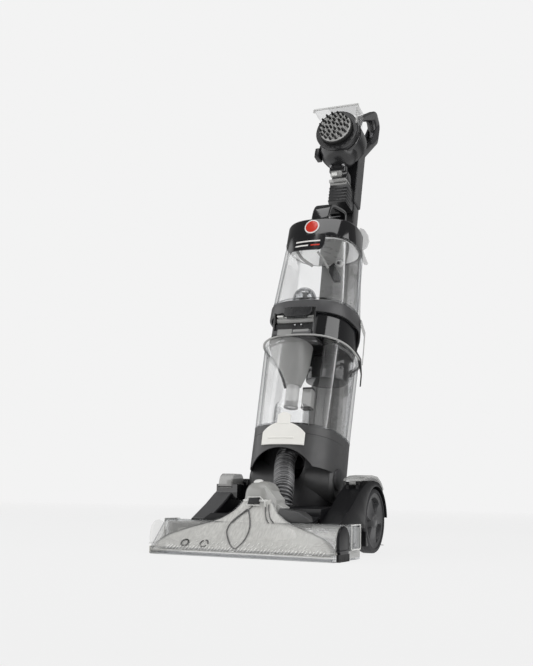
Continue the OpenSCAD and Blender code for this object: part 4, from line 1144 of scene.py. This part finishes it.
def build_elbow():
    levels = [(97.2, 27.5, 36), (102, 28.5, 37), (104, 28, 36.5), (112, 27.4, 35.5), (119, 25.8, 33),
        (125, 22.6, 29.5), (130, 17.6, 23.5), (133, 11.6, 15.5), (134.4, 5.8, 8)]

    def oval(z, a, b):
        return [base(-5 + a * spow(math.cos(t), 0.62), -86 + b * spow(math.sin(t), 0.62), z)
            for t in turns(96)]

    piece("elbow_dome", skin([oval(*row) for row in levels]), "base", "elbow", ("duct_elbow",), angle=50)
    piece("elbow_flange", skin([oval(*row) for row in ((96.6, 29, 38), (97, 31, 39.5), (99.6, 31.4, 40),
        (100.6, 29, 38))]), "base", "line_white", angle=50)
    # a pale lens on top of the dome: painted highlight
    highlight_spot = [(0, 4), (5, 3.6), (8, 2.6), (9.4, 1), (9.6, 0), (0, 0)]
    piece("elbow_painted_highlight", lathe(highlight_spot, (-9, -98, 131.6), lambda x, y, z: base(x, y,
        z - (x + 9) * 0.1 + (y + 99) * 0.35), "w", 40), "base", "line_white")
    side_line = [(10, 96), (10, 124), (14, 125), (35, 101), (34, 86), (26, 83), (10, 87)]
    piece("elbow_side", prism(side_line, base_front, -116, -74), "base", "elbow_side", bevel=1.8,
        segments=3)
    wing = [(-112, 80), (-108, 96), (-90, 100), (-78, 97), (-80, 86)]
    piece("elbow_wing", prism(wing, lambda y, z, x: base(x, y, z - max(0, x - 32) * 0.7), 30, 47), "base",
        "elbow_side", bevel=1.4, segments=3)
    piece("elbow_window", prism([(-17, 92), (5, 92.6), (5, 104), (-14, 103)], base_front, -128, -119,
        0.8), "hood_latch", "inner", ("nozzle_latch",))
    piece("elbow_frame", joined(*[rod([base(x, -127.4, z) for x, z in loop], 0.9, 10)
        for loop in ([(-19, 90), (8, 90.6), (8, 105.5), (-16, 104.6), (-19, 90)],
        [(8, 105.5), (17, 97), (19, 88)])]), "base", "line_white")
    # corrugated hose, bent between the elbow and the upright
    route = [(-14, 48, 190), (-13, 36, 179), (-10, 24, 166), (-4, 8, 153), (4, -10, 141), (12, -30, 129),
        (18, -46, 116), (20, -56, 100), (20, -58, 84)]
    path = smooth_path([base(*p) for p in route], 14)
    length = [0.0]
    for p, q in zip(path, path[1:]):
        length.append(length[-1] + (q - p).length * 1000)
    fine = []
    total, step, pitch = length[-1], 0.9, 6.0
    k = 0
    for i in range(int(total / step)):
        d = i * step
        while length[k + 1] < d:
            k += 1
        fine.append(path[k].lerp(path[k + 1], (d - length[k]) / max(1e-6, length[k + 1] - length[k])))
    ribs = lambda i: circle(40, 18.4 + 2.0 * spow(math.sin(2 * math.pi * i * step / pitch), 0.6))
    hose = piece("hose_corrugated", sweep(fine, ribs), "upright", "hose", angle=80)
    # faces on each rib crest take a second, lighter material: painted highlight along the ridges
    hose.data.materials.append(M["hose_crest_highlight"])
    for face in hose.data.polygons:
        if math.sin(2 * math.pi * (face.index // 40 + 0.5) * step / pitch) > 0.45:
            face.material_index = 1
    world = hose.matrix_world.copy()
    hose.parent = None
    hose.matrix_world = world
    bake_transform(hose)
    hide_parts("vacuum_hose")


def build_base():
    cad("base_cover", "pod", 2.2, 3)
    cad("base_chassis", "inner", 0.8, 2)
    cad("belt_cover", "pod", 1.6, 3)
    piece("deck_block", prism([(36, 62), (46, 86), (84, 80), (108, 64), (104, 60)], base_front, -126, -93,
        1.5), "base", "shell")
    cad("hose_port", "gloss", 1.4, 3)
    lid = [(-2, 120), (-2, 133), (3, 144), (12, 149), (44, 149), (51, 144), (54, 133), (54, 120)]
    piece("port_cap_shell", prism(lid, base_side, -142, -112, 3.0), "hose_port_cap", "smoke",
        ("port_cap",), bevel=1.0)
    piece("port_cap_seam", prism([(-2.6, 122), (-2.6, 124), (54.4, 124), (54.4, 122)], base_side, -142.4,
        -111.6), "hose_port_cap", "inner", slot="smoke")
    cad("recline_pedal", "smoke", 1.4, 3)
    # sloped glossy panel of the left pod, and thin pale strips on the deck that are painted highlights
    # along its edges
    slope = [(-95, 60), (-40, 86.5), (8, 113.5), (8, 117), (-40, 90.4), (-96, 63.2)]
    piece("pod_panel", prism(slope, lambda y, z, x: base(-x, y, z), 113, 148.5), "base", "panel",
        bevel=1.2, segments=3)
    piece("deck_highlight_strips", joined(box(34, 74, -20, -18, 72.6, 74.2, base, 0.4),
        box(44, 84, 6, 8, 73, 74.6, base, 0.4), box(-92, -52, -20, -18, 72.6, 74.2, base, 0.4)), "base",
        "line_white", slot="dark_shell")
    # wheels: lathe tyre with grooves, and a dished disc with three wedge recesses
    for s, label in ((-1, "left"), (1, "right")):
        x = lambda d: s * d
        tread = [(54.2, 122.4), (60, 122.4), (62.2, 123.6), (63, 126), (63, 131), (62.3, 131.6),
            (62.3, 132.6), (63, 133.2), (63, 137.4), (62.3, 138), (62.3, 139), (63, 139.6), (62.8, 144),
            (61.2, 146.6), (58, 147.9), (54.2, 147.9)]
        piece(f"tyre_{label}_tread", lathe([(r, x(h)) for r, h in tread], (0, AXLE_Y, AXLE_Z), base, "x",
            96, True), f"{label}_wheel", "rubber", (f"tyre_{label}",), angle=50)
        loops = []
        radii = [5.1, 6, 12, 13.5, 16, 17.5, 19, 21, 26, 32, 38, 42, 44, 45.5, 49, 52, 54]
        wedge_angles = [math.radians(a) for a in (80, 200, 320)]
        for r in radii:
            loop = []
            for i in range(144):
                t = 2 * math.pi * i / 144
                depth = 0.0
                for a in wedge_angles:
                    off = abs((t - a + math.pi) % (2 * math.pi) - math.pi)
                    half = math.radians(mix(20, 33, (r - 18) / 26))
                    k = min(1, max(0, (half - off) / 0.07)) * min(1, max(0, (r - 17) / 2.5)) * min(1,
                        max(0, (45.5 - r) / 2.5))
                    depth = max(depth, 9 * k)
                rise = 146.4 - depth - 1.6 * math.sin(math.pi * min(1, max(0, (r - 14) / 40)))
                if r < 13.6:
                    rise = 148.4
                loop.append(base(x(rise), AXLE_Y + r * math.cos(t), AXLE_Z + r * math.sin(t)))
            loops.append(loop)
        for r in (54, 5.1):
            loops.append([base(x(124), AXLE_Y + r * math.cos(t), AXLE_Z + r * math.sin(t))
                for t in turns(144)])
        piece(f"wheel_{label}_disc", skin(loops, wrap=True), f"{label}_wheel", "housing",
            (f"wheel_{label}",), angle=40)
        piece(f"wheel_{label}_cap", lathe([(0, x(149.4)), (8, x(149.2)), (9.4, x(148.2)), (9.4, x(146))],
            (0, AXLE_Y, AXLE_Z), base, "x", 36), f"{label}_wheel", "panel")


set_camera()
set_stage()
build_casing()
build_release_plate()
build_recovery_tank()
build_separator()
build_funnel()
build_rear_fins()
build_clean_tank()
build_cap()
build_carry_handle()
build_spine()
build_handle()
build_tool()
build_hood()
build_bell()
build_divider()
build_marks()
build_nozzle_sides()
build_elbow()
build_base()
